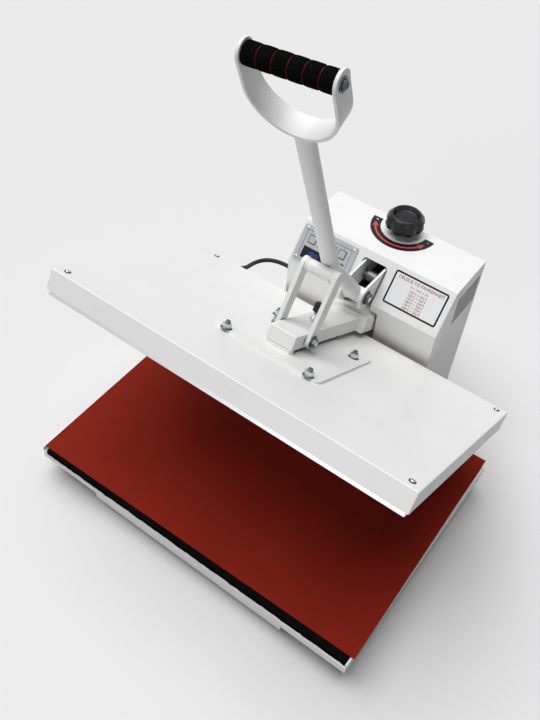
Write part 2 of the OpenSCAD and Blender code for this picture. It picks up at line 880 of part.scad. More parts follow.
module box_gland() {
    color(black_plastic) translate([-box_w / 2, box_gland_y, box_gland_z]) rotate([0, -90, 0]) lead_gland(8);
}

module platen_gland() {
    color(black_plastic) opened() translate([platen_gland_x, platen_gland_y, platen_gland_z])
        rotate([-90, 0, 0]) lead_gland(4 * cover_sheet);
}

// Unit vector along a route at point i
function heading(p, i) =
    let (a = p[max(i - 1, 0)], b = p[min(i + 1, len(p) - 1)]) (b - a) / norm(b - a);

// Ring of points round a route at point i
function ring(p, i, r, n) =
    let (t = heading(p, i), u0 = cross(t, [0, 0, 1]), u = u0 / norm(u0), v = cross(t, u))
    [for (k = [0 : n - 1]) p[i] + r * (cos(360 * k / n) * u + sin(360 * k / n) * v)];

// Closed tube swept along a route, with flat ends
module swept_tube(p, r, n) {
    m = len(p);
    points = [for (i = [0 : m - 1]) each ring(p, i, r, n)];
    walls = [
        for (i = [0 : m - 2], k = [0 : n - 1])
            let (a = i * n + k, b = i * n + (k + 1) % n)
            each [[a, b, b + n], [a, b + n, a + n]]
    ];
    caps = [
        for (k = [1 : n - 2]) each [[0, k + 1, k], [(m - 1) * n, (m - 1) * n + k, (m - 1) * n + k + 1]]
    ];
    polyhedron(points = points, faces = concat(walls, caps), convexity = 6);
}

module heater_lead() {
    color(black_plastic) swept_tube(lead_path, lead_d / 2, lead_sides);
}

// Pressure screw and its bracket

module pressure_knob() {
    rim_r = knob_d / 2;
    hollow_d = 18;
    color(black_plastic) translate([0, screw_y, knob_low]) difference() {
        rotate_extrude() polygon([
            [0, 0], [rim_r - 10, 0], [rim_r - 2, 6], [rim_r, 12], [rim_r - 2, knob_h - 5],
            [rim_r - 8, knob_h], [rim_r - 12, knob_h], [rim_r - 18, knob_h - 5], [0, knob_h - 6]
        ]);
        for (i = [0 : knob_lobes - 1]) rotate([0, 0, 360 * (i + 0.5) / knob_lobes])
            translate([rim_r + hollow_d / 2 - 4, 0, -1]) cylinder(h = knob_h + 2, d = hollow_d);
        translate([0, 0, -1]) cylinder(h = knob_h - 7, d = screw_d + 2 * run);
    }
}

module knob_collar() {
    color(zinc) translate([0, screw_y, box_top + knob_lift]) difference() {
        cylinder(h = 4, d = 2.2 * screw_d);
        translate([0, 0, -1]) cylinder(h = 6, d = screw_d + 2 * run);
    }
}

module pressure_screw() {
    color(steel) translate([0, screw_y, 0]) {
        translate([0, 0, screw_low]) cylinder(h = screw_high - screw_low, d = screw_d);
        translate([0, 0, upright_top - side - collar_ring_h])
            cylinder(h = collar_ring_h, d = screw_d + 9);
        translate([0, 0, upright_top + screw_plate_t + side]) cylinder(h = collar_ring_h, d = screw_d + 9);
    }
}

module pressure_bracket() {
    block_front = screw_y - block_d / 2;
    ear_mid = ear_gap / 2 + ear_t / 2;
    ear_back = 12;
    color(white_paint) difference() {
        union() {
            translate([0, screw_y, block_top - block_h])
                slab(upright_gap - 2 * side, block_d, block_h);
            for (s = [-1, 1]) translate([s * ear_mid, 0, 0]) {
                at(ear_p) bar_x(ear_t, 2 * ear_r);
                translate([0, (ear_y + block_front - ear_back) / 2, ear_z - ear_r])
                    slab(ear_t, block_front - ear_back - ear_y, 2 * ear_r);
                translate([0, block_front - ear_back / 2, ear_z - ear_r])
                    slab(ear_t, ear_back + eps, block_top - ear_z + ear_r);
            }
        }
        translate([0, screw_y, block_top - block_h - 1]) cylinder(h = block_h + 2, d = screw_d + 2 * run);
        at(ear_p) bar_x(ear_gap + 4 * ear_t, lever_bolt_d + 2 * run);
    }
}

module bracket_nut() {
    nut_w = ear_gap - 2 * eps;
    rod_d = 10;
    color(zinc) translate([0, nut_block_y, ear_z - 6]) {
        bar_x(nut_w, rod_d);
        bar_x(16, 2 * rod_d);
    }
}

module lever_bolt() {
    ear_out = ear_gap / 2 + ear_t;
    head_t = 6;
    color(steel) at(ear_p) {
        bar_x(2 * ear_out, lever_bolt_d);
        bar_from(ear_out, ear_out + 1.5, 2.0 * lever_bolt_d);
        hex_from(ear_out + 1.5, ear_out + 1.5 + head_t, 1.5 * lever_bolt_d);
        bar_from(-ear_out - 1.5, -ear_out, 2.0 * lever_bolt_d);
        hex_from(-ear_out - 1.5 - head_t, -ear_out - 1.5, 1.5 * lever_bolt_d);
    }
}

// Arm and platen

// Inverted channel along Y with its open side down
module channel(w, h, y0, y1) {
    translate([0, (y0 + y1) / 2, arm_low]) difference() {
        slab(w, y1 - y0, h);
        translate([0, 0, -arm_wall]) slab(w - 2 * arm_wall, y1 - y0 + 2, h);
    }
}

module arm() {
    cheek_x = (arm_rear_w - arm_wall) / 2;
    rear_end = hinge_y;
    color(white_paint) opened() difference() {
        union() {
            channel(arm_w, arm_h, arm_front, arm_step + 40);
            translate([0, arm_front + arm_wall / 2, arm_low]) slab(arm_w, arm_wall, arm_h);
            channel(arm_rear_w, arm_rear_h, arm_step, rear_end);
            translate([0, arm_step + arm_wall / 2, arm_low]) slab(arm_rear_w, arm_wall, arm_rear_h);
            for (s = [-1, 1]) translate([s * cheek_x, 0, 0]) at(hinge_p) bar_x(arm_wall, hinge_tube_d);
            at(hinge_p) bar_x(upright_gap - 2 * side, hinge_tube_d);
        }
        at(hinge_p) bar_x(upright_gap + 2, hinge_d + 2 * run);
        at(link_closed_p) bar_x(arm_w + 2, link_bolt_d + 2 * run);
        translate([0, stop_y, arm_top - arm_wall - 1]) cylinder(h = arm_wall + 2, d = stop_d + 2 * run);
    }
}

module arm_spacer() {
    spacer_l = mount_d - 30;
    spacer_y = arm_front + 8;
    color(black_plastic) opened() translate([0, spacer_y + spacer_l / 2, mount_top])
        slab(arm_w - arm_wall, spacer_l, arm_low - mount_top);
}

module mount_plate() {
    color(white_paint) opened() difference() {
        translate([0, platen_y + mount_y, cover_top]) linear_extrude(mount_t) round_rect(mount_w, mount_d, mount_r);
        at_studs() translate([0, 0, cover_top - 1]) cylinder(h = mount_t + 2, d = stud_d + 2 * loose);
    }
}

module platen_cover() {
    color(white_paint) opened() difference() {
        translate([0, platen_y, cover_low]) slab(cover_w, cover_d, cover_h);
        translate([0, platen_y, cover_low - 1])
            slab(cover_w - 2 * cover_sheet, cover_d - 2 * cover_sheet, cover_h - cover_sheet + 1);
        at_studs() translate([0, 0, cover_in - 1]) cylinder(h = cover_sheet + 2, d = stud_d + 2 * loose);
        at_cover_screws() translate([0, 0, cover_in - 1])
            cylinder(h = cover_sheet + 2, d = cover_screw_d + 2 * loose);
        translate([platen_gland_x, platen_gland_y, platen_gland_z]) rotate([90, 0, 0])
            cylinder(h = 4 * cover_sheet, d = gland_thread_d + 2 * loose, center = true);
    }
}

module platen_standoffs() {
    standoff_h = cover_in - plate_top;
    color(zinc) opened() {
        at_cover_screws() translate([0, 0, plate_top]) difference() {
            cylinder(h = standoff_h, d = standoff_d);
            translate([0, 0, 4]) cylinder(h = standoff_h, d = cover_screw_d + 2 * run);
        }
        at_studs() translate([0, 0, plate_top]) difference() {
            cylinder(h = standoff_h, d = sleeve_out_d);
            translate([0, 0, -1]) cylinder(h = standoff_h + 2, d = stud_d + 2 * run);
        }
    }
}

module cover_screws() {
    head_h = 2.2;
    color(steel) opened() at_cover_screws() {
        translate([0, 0, cover_top]) cylinder(h = head_h, d = 2 * cover_screw_d);
        translate([0, 0, plate_top + 6]) cylinder(h = cover_top - plate_top - 6 + eps, d = cover_screw_d);
    }
}

module insulation_blanket() {
    blanket_w = plate_w - 60;
    blanket_d = plate_d - 30;
    color(blanket_white) opened() difference() {
        translate([0, platen_y, plate_top + element_d + 2 * side]) slab(blanket_w, blanket_d, blanket_t);
        at_studs() translate([0, 0, plate_top]) cylinder(h = cover_h, d = sleeve_out_d + 4 * loose);
    }
}

module heating_plate() {
    color(alloy) opened() difference() {
        translate([0, platen_y, plate_low]) slab(plate_w, plate_d, plate_t);
        translate([probe_x, platen_y + plate_d / 2 - probe_l, plate_low + plate_t / 2]) rotate([-90, 0, 0])
            cylinder(h = probe_l + 1, d = probe_d + 2 * run);
    }
}

// X of an element run from the platen's middle
function run_x(i) = (i - (element_runs - 1) / 2) * element_pitch;

module heating_element() {
    color(steel) opened() translate([0, platen_y, plate_top + element_d / 2]) {
        for (i = [0 : element_runs - 1]) translate([run_x(i), 0, 0]) rotate([90, 0, 0])
            cylinder(h = 2 * element_reach, d = element_d, center = true);
        for (i = [0 : element_runs - 2])
            let (to_front = i % 2)
            translate([run_x(i) + element_pitch / 2, to_front ? -element_reach : element_reach, 0])
                rotate([0, 0, to_front ? 180 : 0]) rotate_extrude(angle = 180)
                    translate([element_pitch / 2, 0]) circle(d = element_d);
    }
}

module temperature_probe() {
    probe_y = platen_y + plate_d / 2;
    color(steel) opened() translate([probe_x, probe_y, plate_low + plate_t / 2]) rotate([-90, 0, 0]) {
        translate([0, 0, -probe_l + 2]) cylinder(h = probe_l - 2, d = probe_d);
        cylinder(h = probe_out, d = probe_d + 3);
    }
}

module platen_studs() {
    stud_out = 4;
    stud_l = mount_top + nut_h + stud_out - plate_top;
    color(zinc) opened() at_studs() translate([0, 0, plate_top]) cylinder(h = stud_l, d = stud_d);
}

module flange_nuts() {
    flange_d = 2.2 * stud_d;
    color(zinc) opened() at_studs() translate([0, 0, mount_top]) difference() {
        union() {
            cylinder(h = 2, d = flange_d);
            cylinder(h = nut_h, d = 1.6 * stud_d / cos(30), $fn = 6);
        }
        translate([0, 0, -1]) cylinder(h = nut_h + 2, d = stud_d + 2 * run);
    }
}

stop_d = 8;
stop_cap_d = 15;
stop_cap_h = 15;

module stop_stud() {
    stud_low = 6;
    stud_h = stop_h - stop_cap_h + 8;
    color(zinc) opened() translate([0, stop_y, arm_top]) {
        translate([0, 0, -arm_wall - stud_low]) cylinder(h = arm_wall + stud_low + stud_h, d = stop_d);
        cylinder(h = 6, d = 1.6 * stop_d / cos(30), $fn = 6);
    }
}

module stop_bumper() {
    color(black_plastic) opened() translate([0, stop_y, arm_top + stop_h - stop_cap_h]) difference() {
        union() {
            cylinder(h = stop_cap_h - 3, d = stop_cap_d);
            translate([0, 0, stop_cap_h - 3]) cylinder(h = 3, d1 = stop_cap_d, d2 = stop_cap_d - 4);
        }
        translate([0, 0, -1]) cylinder(h = 9 + side, d = stop_d + 2 * run);
    }
}

// Links

link_out = link_in + link_t;
washer_t = 1.6;

module link_bolt() {
    grip_x = link_out + side + washer_t;
    head_t = 6;
    color(zinc) opened() at(link_closed_p) {
        bar_x(2 * grip_x, link_bolt_d);
        hex_from(grip_x, grip_x + head_t, 1.6 * link_bolt_d);
        hex_from(-grip_x - head_t, -grip_x, 1.6 * link_bolt_d);
    }
}

module link_washers() {
    color(zinc) opened() at(link_closed_p) difference() {
        for (s = [0, 180]) rotate([0, 0, s]) {
            bar_from(arm_w / 2, link_in - side, 2 * link_bolt_d);
            bar_from(link_out + side, link_out + side + washer_t, 2 * link_bolt_d);
        }
        bar_x(3 * link_out, link_bolt_d + 2 * run);
    }
}

module link_bar(x0) {
    color(white_paint) along(link_p, link_a) difference() {
        union() {
            bar_from(x0, x0 + link_t, link_w);
            translate([x0, -link_w / 2, 0]) cube([link_t, link_w, link_l]);
            translate([0, 0, link_l]) bar_from(x0, x0 + link_t, link_w);
        }
        bar_x(4 * link_out, link_bolt_d + 2 * run);
    }
}

module link_right() { link_bar(link_in); }
module link_left() { link_bar(-link_out); }

// Lever and handle

// Solid outline of the lever, both runs and the weld at the bend
module lever_solid() {
    along(ear_p, lever_low_a) cylinder(h = lever_low_l, d = lever_d);
    at(bend_p) sphere(d = lever_d + 2 * bend_rise);
    along(bend_p, lever_up_a) cylinder(h = lever_up_l + strap_depth / 4, d = lever_d);
}

// Handle frame: origin on the grip's axis, +X along the grip, +Z up the lever
module on_handle() {
    along(bend_p, lever_up_a) translate([0, 0, lever_up_l + strap_depth]) rotate([0, 0, strap_twist]) children();
}

// Extrudes an X and Z outline along Y, centred
module extrude_y(w) {
    rotate([90, 0, 0]) linear_extrude(w, center = true) children();
}

module lever_tube() {
    boss_l = ear_gap - 2 * side;
    bore = lever_d - 2 * lever_wall;
    bore_start = boss_d / 2 + lever_wall;
    color(white_paint) difference() {
        union() {
            lever_solid();
            at(ear_p) bar_x(boss_l, boss_d);
        }
        along(ear_p, lever_low_a) translate([0, 0, bore_start])
            cylinder(h = lever_low_l - bore_start - lever_d, d = bore);
        along(bend_p, lever_up_a) translate([0, 0, lever_d]) cylinder(h = lever_up_l, d = bore);
        at(ear_p) bar_x(boss_l + 2, lever_bolt_d + 2 * run);
        on_handle() translate([0, 0, strap_half - strap_depth]) rotate([90, 0, 0])
            cylinder(h = 4 * lever_d, r = strap_half + run, center = true);
    }
}

module crossbar() {
    crossbar_l = 2 * (link_in - side);
    color(white_paint) difference() {
        at(crossbar_p) bar_x(crossbar_l, crossbar_d);
        lever_solid();
    }
}

// U outline of the strap about the grip's axis, in X and Z
module strap_outline(half, top) {
    straight = strap_depth - strap_half;
    translate([0, -straight]) circle(half, $fn = 128);
    translate([-half, -straight]) square([2 * half, straight + top]);
}

module handle_strap() {
    end_r = strap_w / 2;
    color(white_paint) on_handle() difference() {
        intersection() {
            extrude_y(strap_w) difference() {
                strap_outline(strap_half, end_r);
                strap_outline(strap_half - strap_t, end_r + 1);
            }
            union() {
                bar_x(3 * strap_half, strap_w);
                translate([0, 0, -2 * strap_depth]) slab(3 * strap_half, strap_w, 2 * strap_depth);
            }
        }
        bar_x(3 * strap_half, grip_bolt_d + 2 * run);
    }
}

grip_l = 2 * (strap_half - strap_t) - 2 * run;

module grip_sleeve() {
    color(sleeve_red) on_handle() difference() {
        bar_x(grip_l, sleeve_d);
        bar_x(grip_l + 2, grip_bolt_d + 2 * run);
    }
}

module grip_rings_foam() {
    ring_l = (grip_l - (grip_rings - 1) * grip_gap) / grip_rings;
    edge_r = (sleeve_d / 2 + grip_d / 2) / 2 + 0.4;
    color(foam_black) on_handle() for (i = [0 : grip_rings - 1])
        translate([-grip_l / 2 + i * (ring_l + grip_gap), 0, 0]) rotate([0, 90, 0]) rotate_extrude() polygon([
            [sleeve_d / 2 + run, 0], [edge_r, 0], [grip_d / 2, ring_l * 0.22],
            [grip_d / 2, ring_l * 0.78], [edge_r, ring_l], [sleeve_d / 2 + run, ring_l]
        ]);
}

module grip_bolt() {
    head_t = 4;
    washer_d = 2.2 * grip_bolt_d;
    color(steel) on_handle() {
        bar_x(2 * strap_half, grip_bolt_d);
        for (s = [0, 180]) rotate([0, 0, s]) {
            bar_from(strap_half, strap_half + 1.5, washer_d);
            bar_from(strap_half + 1.5, strap_half + 1.5 + head_t, 1.6 * grip_bolt_d);
        }
    }
}

base_frame();
rubber_feet();
lower_tray();
tray_bolts();
foam_pad();
silicone_mat();
hinge_uprights();
screw_plate();
hinge_pin();
hinge_nuts();
control_box();
box_brackets();
back_panel();
box_screws();
controller_face();
controller_housing();
display_window();
solid_state_relay();
terminal_block();
switch_body();
mains_gland();
box_gland();
heater_lead();
pressure_knob();
knob_collar();
pressure_screw();
pressure_bracket();
bracket_nut();
lever_bolt();
arm();
arm_spacer();
mount_plate();
platen_cover();
platen_standoffs();
cover_screws();
insulation_blanket();
heating_plate();
heating_element();
temperature_probe();
platen_studs();
flange_nuts();
stop_stud();
stop_bumper();
link_bolt();
link_washers();
platen_gland();
lever_tube();
crossbar();
handle_strap();
grip_sleeve();
grip_rings_foam();
grip_bolt();
link_left();
link_right();
button_1();
button_2();
button_3();
button_4();
switch_rocker();
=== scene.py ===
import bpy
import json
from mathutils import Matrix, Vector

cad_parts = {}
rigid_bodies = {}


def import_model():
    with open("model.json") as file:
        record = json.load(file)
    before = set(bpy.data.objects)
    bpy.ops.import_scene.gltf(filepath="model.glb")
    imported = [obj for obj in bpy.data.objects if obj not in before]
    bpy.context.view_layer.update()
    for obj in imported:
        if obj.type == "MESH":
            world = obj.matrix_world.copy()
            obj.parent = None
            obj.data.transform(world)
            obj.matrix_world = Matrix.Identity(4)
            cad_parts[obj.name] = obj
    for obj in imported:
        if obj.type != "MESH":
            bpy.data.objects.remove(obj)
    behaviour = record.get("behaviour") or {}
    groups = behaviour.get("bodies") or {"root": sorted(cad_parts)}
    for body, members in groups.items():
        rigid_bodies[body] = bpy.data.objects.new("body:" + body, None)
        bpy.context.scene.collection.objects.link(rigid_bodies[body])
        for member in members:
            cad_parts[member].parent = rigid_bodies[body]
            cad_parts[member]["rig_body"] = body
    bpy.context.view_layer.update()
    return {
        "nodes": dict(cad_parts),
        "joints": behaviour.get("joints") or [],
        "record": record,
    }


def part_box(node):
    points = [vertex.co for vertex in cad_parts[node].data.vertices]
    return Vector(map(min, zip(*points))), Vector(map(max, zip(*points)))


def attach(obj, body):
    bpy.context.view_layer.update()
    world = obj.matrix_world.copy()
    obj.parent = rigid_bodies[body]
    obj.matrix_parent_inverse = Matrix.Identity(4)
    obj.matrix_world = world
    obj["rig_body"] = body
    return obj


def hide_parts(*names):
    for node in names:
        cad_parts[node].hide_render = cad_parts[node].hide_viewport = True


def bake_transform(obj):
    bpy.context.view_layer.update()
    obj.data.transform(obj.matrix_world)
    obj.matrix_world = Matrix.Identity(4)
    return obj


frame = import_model()

import json
import math

import bmesh
import bpy
from bpy.props import FloatProperty, FloatVectorProperty, PointerProperty
from mathutils import Matrix, Vector, geometry, noise

bl_info = {
    "name": "Flat heat press",
    "version": (1, 0, 0),
    "blender": (4, 5, 0),
    "location": "View3D > Sidebar > Heat press",
    "description": "Dresses the packed heat press with rounded pieces and finishes",
    "category": "Object",
}

MM = 0.001
MICRON = 1e-6
TURN = math.tau
SIDES = (-1, 1)
CORNERS = [(x, y) for x in SIDES for y in SIDES]

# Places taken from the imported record
JOINTS = {joint["name"]: joint for joint in frame["joints"]}
HINGE = Vector(JOINTS["arm_hinge"]["pos_m"]) / MM
OPEN_ANGLE = math.radians(JOINTS["arm_hinge"]["range_deg"][1])
EAR = Vector(JOINTS["lever_pivot"]["pos_m"]) / MM
LINK_LOW = Vector(JOINTS["link_pivot"]["pos_m"]) / MM
NODE_SLOT = {row["node"]: row["material_slot"] for row in frame["record"]["subparts"]}

# Sizes repeated from the part's source, in millimetres
REAR_FOOT_X = 100
TABLE_Y = -90.75
TRAY_FLOOR = 55
FOAM_TOP = 65
PAD_YAW = math.radians(1)
FOAM = (586.87, 428.5, 10.0)
FOAM_SKEW = 6
MAT = (600.0, 424.0, 1.5)
MAT_BACK = 5
PLATEN_Y = -89.55
COVER_HALF_W = 297
COVER_HALF_D = 212
COVER_TOP = 107
COVER_SCREW_IN = 16
PLATE_TOP = 85
ELEMENT_H = 8.6
BLANKET_HALF_W = 262.5
BLANKET_HALF_D = 192
MOUNT = (182.0, 194.0, 4.0, 10.0)
MOUNT_Y = 7
MOUNT_TOP = 111
STUD_X = 71.5
STUD_Y = -9
STUD_HALF_DY = 77.9
STUD_R = 4
STUD_PITCH = 1.25
NUT_ACROSS = 12.8
ARM_TOP = 140
STOP_Y = -52
STOP_H = 32.5
LINK_X = 27.8
LINK_BOLT = (0.0, -104.6, 130.7)
BOX_TOP = 311.1
BOX_BACK = 300
BOX_SIDE = 145
BACK_SCREW_X = 136.5
BACK_SCREW_Z = (72.5, 287.1)
SLOPE_TOP_Y = 200.6
SLOPE_LOW_Y = 153
SLOPE_LOW_Z = 247.2
SLOPE_ANGLE = math.atan2(BOX_TOP - SLOPE_LOW_Z, SLOPE_TOP_Y - SLOPE_LOW_Y)
FACE_X = -88.5
FACE_S = 39.6
FACE_T = 3
FACE_SCREW_X = 46.5
FACE_SCREW_Y = 26.5
KEY_PITCH = 19.6
KEY_Y = 11
KEY_OUT = 1.5
GLAND_L = 20
BOX_GLAND = (-BOX_SIDE, 256.0, 125.0)
PLATEN_GLAND = (-255.0, PLATEN_Y + COVER_HALF_D, 91.0)
MAINS_GLAND = (-84.0, BOX_BACK, 96.0)
SCREW_Y = 276
KNOB_LOW = 318.6
KNOB_R = 34
KNOB_H = 30
LEVER_R = 12.5
LEVER_LOW_L = 154.5
LEVER_LOW_A = math.radians(128.4)
LEVER_UP_A = math.radians(111.5)
LEVER_UP_L = 309.6
CROSSBAR_ALONG = 20.8
CROSSBAR_OUT = 21.5
CROSSBAR_R = 10
CROSSBAR_HALF = 24
STRAP_HALF = 60
STRAP_DEPTH = 96
STRAP_T = 4.3
STRAP_YAW = math.radians(5)
LEAD_POINTS = [
    (-165, 256, 125), (-180, 256, 125), (-195, 256.5, 125), (-210, 257, 124.5),
    (-225, 256, 124.5), (-239, 251.5, 125), (-250, 243, 126.5), (-257, 231, 128.5),
    (-260, 216, 132), (-259, 202, 137), (-256.5, 188, 143.2), (-255, 175, 150.8),
]

# What the scene alone adds, in millimetres
TOE = (46, 10, 5.6)
TOE_R = 5
TOE_Y = -141
PRINT_T = 0.06
CHART = (98, 58, 4)
CHART_AT = (86.5, -37)
ARROW_AT = (-2, 285)
SIDE_PLATE = (78, 56, 0.3, 2)
SIDE_PLATE_AT = (BOX_SIDE, 253, 259)

# Camera fitted to the photo, in metres
CAMERA_AT = (0.434565, -0.779114, 1.215595)
CAMERA_RIGHT = Vector((0.80364101, 0.59243103, 0.0564499))
CAMERA_DOWN = Vector((0.47358068, -0.57919556, -0.66351627))
CAMERA_AHEAD = Vector((-0.3603921, 0.55996247, -0.7460292))
CAMERA_LENS = 42.09

# Painted shade: pieces deep inside the box take a dark finish that stands in for the shade there, not
# their own colour
PAINTED_SHADE_FINISH = {"hinge_uprights": "painted_inner_shade", "screw_plate": "painted_inner_shade", "bracket_nut": "dull_zinc_and_shade"}

# Finishes by name, filled by the stage
FINISHES = {}


def shift(x, y, z):
    """A placement moved along the axes."""
    return Matrix.Translation((x, y, z))


def spun(angle, axis):
    """A placement turned about an axis."""
    return Matrix.Rotation(angle, 4, axis)


def aimed(angle):
    """The direction in the side view at an angle from the rear."""
    return Vector((0, math.cos(angle), math.sin(angle)))


# Frames in which the tilted groups are drawn
OPENED = shift(*HINGE) @ spun(-OPEN_ANGLE, "X") @ shift(*-HINGE)
SLOPE = shift(0, SLOPE_TOP_Y, BOX_TOP) @ spun(SLOPE_ANGLE, "X")
FACE = SLOPE @ shift(FACE_X, -FACE_S, 0)
BEND = EAR + LEVER_LOW_L * aimed(LEVER_LOW_A)
LEVER_UP = shift(*BEND) @ spun(LEVER_UP_A - TURN / 4, "X")
HANDLE = LEVER_UP @ shift(0, 0, LEVER_UP_L + STRAP_DEPTH) @ spun(STRAP_YAW, "Z")
ALONG_X = spun(TURN / 4, "Y")
REARWARD = spun(-TURN / 4, "X")


def colour(name, text, value):
    """A colour that a user would change."""
    return FloatVectorProperty(
        name=name, description=text, subtype="COLOR", size=3, min=0.0, max=1.0, default=value
    )


def length(name, text, value):
    """A length that a user would change, in metres."""
    return FloatProperty(name=name, description=text, unit="LENGTH", min=0.0, default=value)


class PressSizes(bpy.types.PropertyGroup):
    """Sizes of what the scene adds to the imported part"""

    sheet_round: length("Sheet fold radius", "Radius of the folds in the sheet metal", 0.0016)
    tube_round: length("Tube corner radius", "Radius of the base tubes' corners", 0.003)
    arm_round: length("Arm fold radius", "Radius of the arm's long folds", 0.005)
    small_round: length("Small edge radius", "Radius of the edges of flat bars and plates", 0.0008)
    lead_diameter: length("Lead diameter", "Diameter of the heater lead", 0.008)
    foam_ragged: length("Foam cut depth", "How deep the foam's cut edges wander", 0.0018)
    border_width: length("Chart border", "Width of the black line round the chart", 0.003)


class PressColours(bpy.types.PropertyGroup):
    """Colours of the press"""

    paint: colour("Paint", "Powder coat on the sheet metal", (0.86, 0.865, 0.855))
    zinc: colour("Zinc", "Plated nuts, studs and washers", (0.68, 0.69, 0.70))
    steel: colour("Steel", "Darker bolts and pins", (0.12, 0.122, 0.13))
    alloy: colour("Alloy", "Heating plate", (0.66, 0.67, 0.68))
    plastic: colour("Black plastic", "Knob, glands and switch", (0.008, 0.008, 0.009))
    rubber: colour("Black rubber", "Feet, bumper and lead", (0.016, 0.016, 0.017))
    foam: colour("Foam", "Table pad and grip rings", (0.003, 0.003, 0.003))
    mat: colour("Silicone mat", "Red mat on the table", (0.245, 0.018, 0.009))
    sleeve: colour("Grip sleeve", "Red sleeve below the grip rings", (0.12, 0.004, 0.007))
    panel: colour("Controller", "Grey bezel and buttons", (0.47, 0.49, 0.51))
    glass: colour("Display glass", "Tinted window of the display", (0.005, 0.007, 0.016))
    glow: colour("Display digits", "Lit digits behind the window", (0.07, 0.18, 0.62))
    blanket: colour("Blanket", "Insulation inside the platen", (0.72, 0.70, 0.62))
    ink_red: colour("Red ink", "Turning arrow", (0.60, 0.045, 0.055))
    ink_dark_red: colour("Dark red ink", "Chart figures", (0.32, 0.02, 0.04))
    ink_black: colour("Black ink", "Chart border and arrow band", (0.005, 0.005, 0.006))
    label: colour("Label", "White sticker stock", (0.85, 0.86, 0.875))


def having(item, **settings):
    """The same item with its settings made."""
    for name, value in settings.items():
        setattr(item, name, value)
    return item


# Shader nodes

def set_sockets(node, values):
    """Sets constants on a node's inputs."""
    for socket, value in values.items():
        node.inputs[socket].default_value = value


def new_node(tree, kind, values=None, **settings):
    """A shader node with its settings and the constants of its inputs."""
    node = having(tree.nodes.new(f"ShaderNode{kind}"), **settings)
    set_sockets(node, values or {})
    return node


def wired(tree, *joins):
    """Links sockets, each join as node, output, node and input."""
    for source, output, target, socket in joins:
        tree.links.new(source.outputs[output], target.inputs[socket])


def group_frame(name, output, **inputs):
    """An empty shader group from a vector and numbers to one number."""
    tree = bpy.data.node_groups.new(name, "ShaderNodeTree")
    tree.interface.new_socket("Vector", in_out="INPUT", socket_type="NodeSocketVector")
    for socket, value in inputs.items():
        made = tree.interface.new_socket(socket, in_out="INPUT", socket_type="NodeSocketFloat")
        made.default_value = value
    tree.interface.new_socket(output, in_out="OUTPUT", socket_type="NodeSocketFloat")
    return tree, tree.nodes.new("NodeGroupInput"), tree.nodes.new("NodeGroupOutput")


def cloud_group(name, detail, roughness, low, high):
    """Noise between two of its levels, spread from Low to High."""
    tree, given, result = group_frame(name, "Value", Scale=20.0, Low=0.0, High=1.0)
    clouds = new_node(tree, "TexNoise", {"Detail": detail, "Roughness": roughness})
    spread = new_node(tree, "MapRange", {"From Min": low, "From Max": high})
    wired(
        tree,
        (given, "Vector", clouds, "Vector"), (given, "Scale", clouds, "Scale"),
        (clouds, "Fac", spread, "Value"),
        (given, "Low", spread, "To Min"), (given, "High", spread, "To Max"),
        (spread, "Result", result, "Value"),
    )


def grain_group():
    """Fine height of a coat or cast skin, with optional open cells."""
    tree, given, result = group_frame("grain", "Height", Scale=600.0, Cells=0.0)
    peel = new_node(tree, "TexNoise", {"Detail": 3.0})
    cells = new_node(tree, "TexVoronoi")
    mix = new_node(tree, "Mix")
    wired(
        tree,
        (given, "Vector", peel, "Vector"), (given, "Scale", peel, "Scale"),
        (given, "Vector", cells, "Vector"), (given, "Scale", cells, "Scale"),
        (given, "Cells", mix, "Factor"), (peel, "Fac", mix, "A"), (cells, "Distance", mix, "B"),
        (mix, "Result", result, "Height"),
    )


def seen_directly(tree):
    """A node that gives one to camera and glossy rays, otherwise nought."""
    path = new_node(tree, "LightPath")
    seen = new_node(tree, "Math", operation="MAXIMUM")
    wired(tree, (path, "Is Camera Ray", seen, 0), (path, "Is Glossy Ray", seen, 1))
    return seen


def new_material(name):
    """A material with its node tree and its shader."""
    material = bpy.data.materials.new(name)
    material.use_nodes = True
    return material, material.node_tree, material.node_tree.nodes["Principled BSDF"]


def pale_floor():
    """A matt floor that looks pale to the camera and bounces less light than it shows."""
    material, tree, shader = new_material("pale_floor")
    set_sockets(shader, {"Roughness": 1.0, "Specular IOR Level": 0.0})
    bounced = (0.40, 0.40, 0.40, 1.0)
    shown = (0.76, 0.76, 0.76, 1.0)
    mix = new_node(tree, "Mix", {"A": bounced, "B": shown}, data_type="RGBA")
    wired(tree, (seen_directly(tree), "Value", mix, "Factor"), (mix, "Result", shader, "Base Color"))
    return material


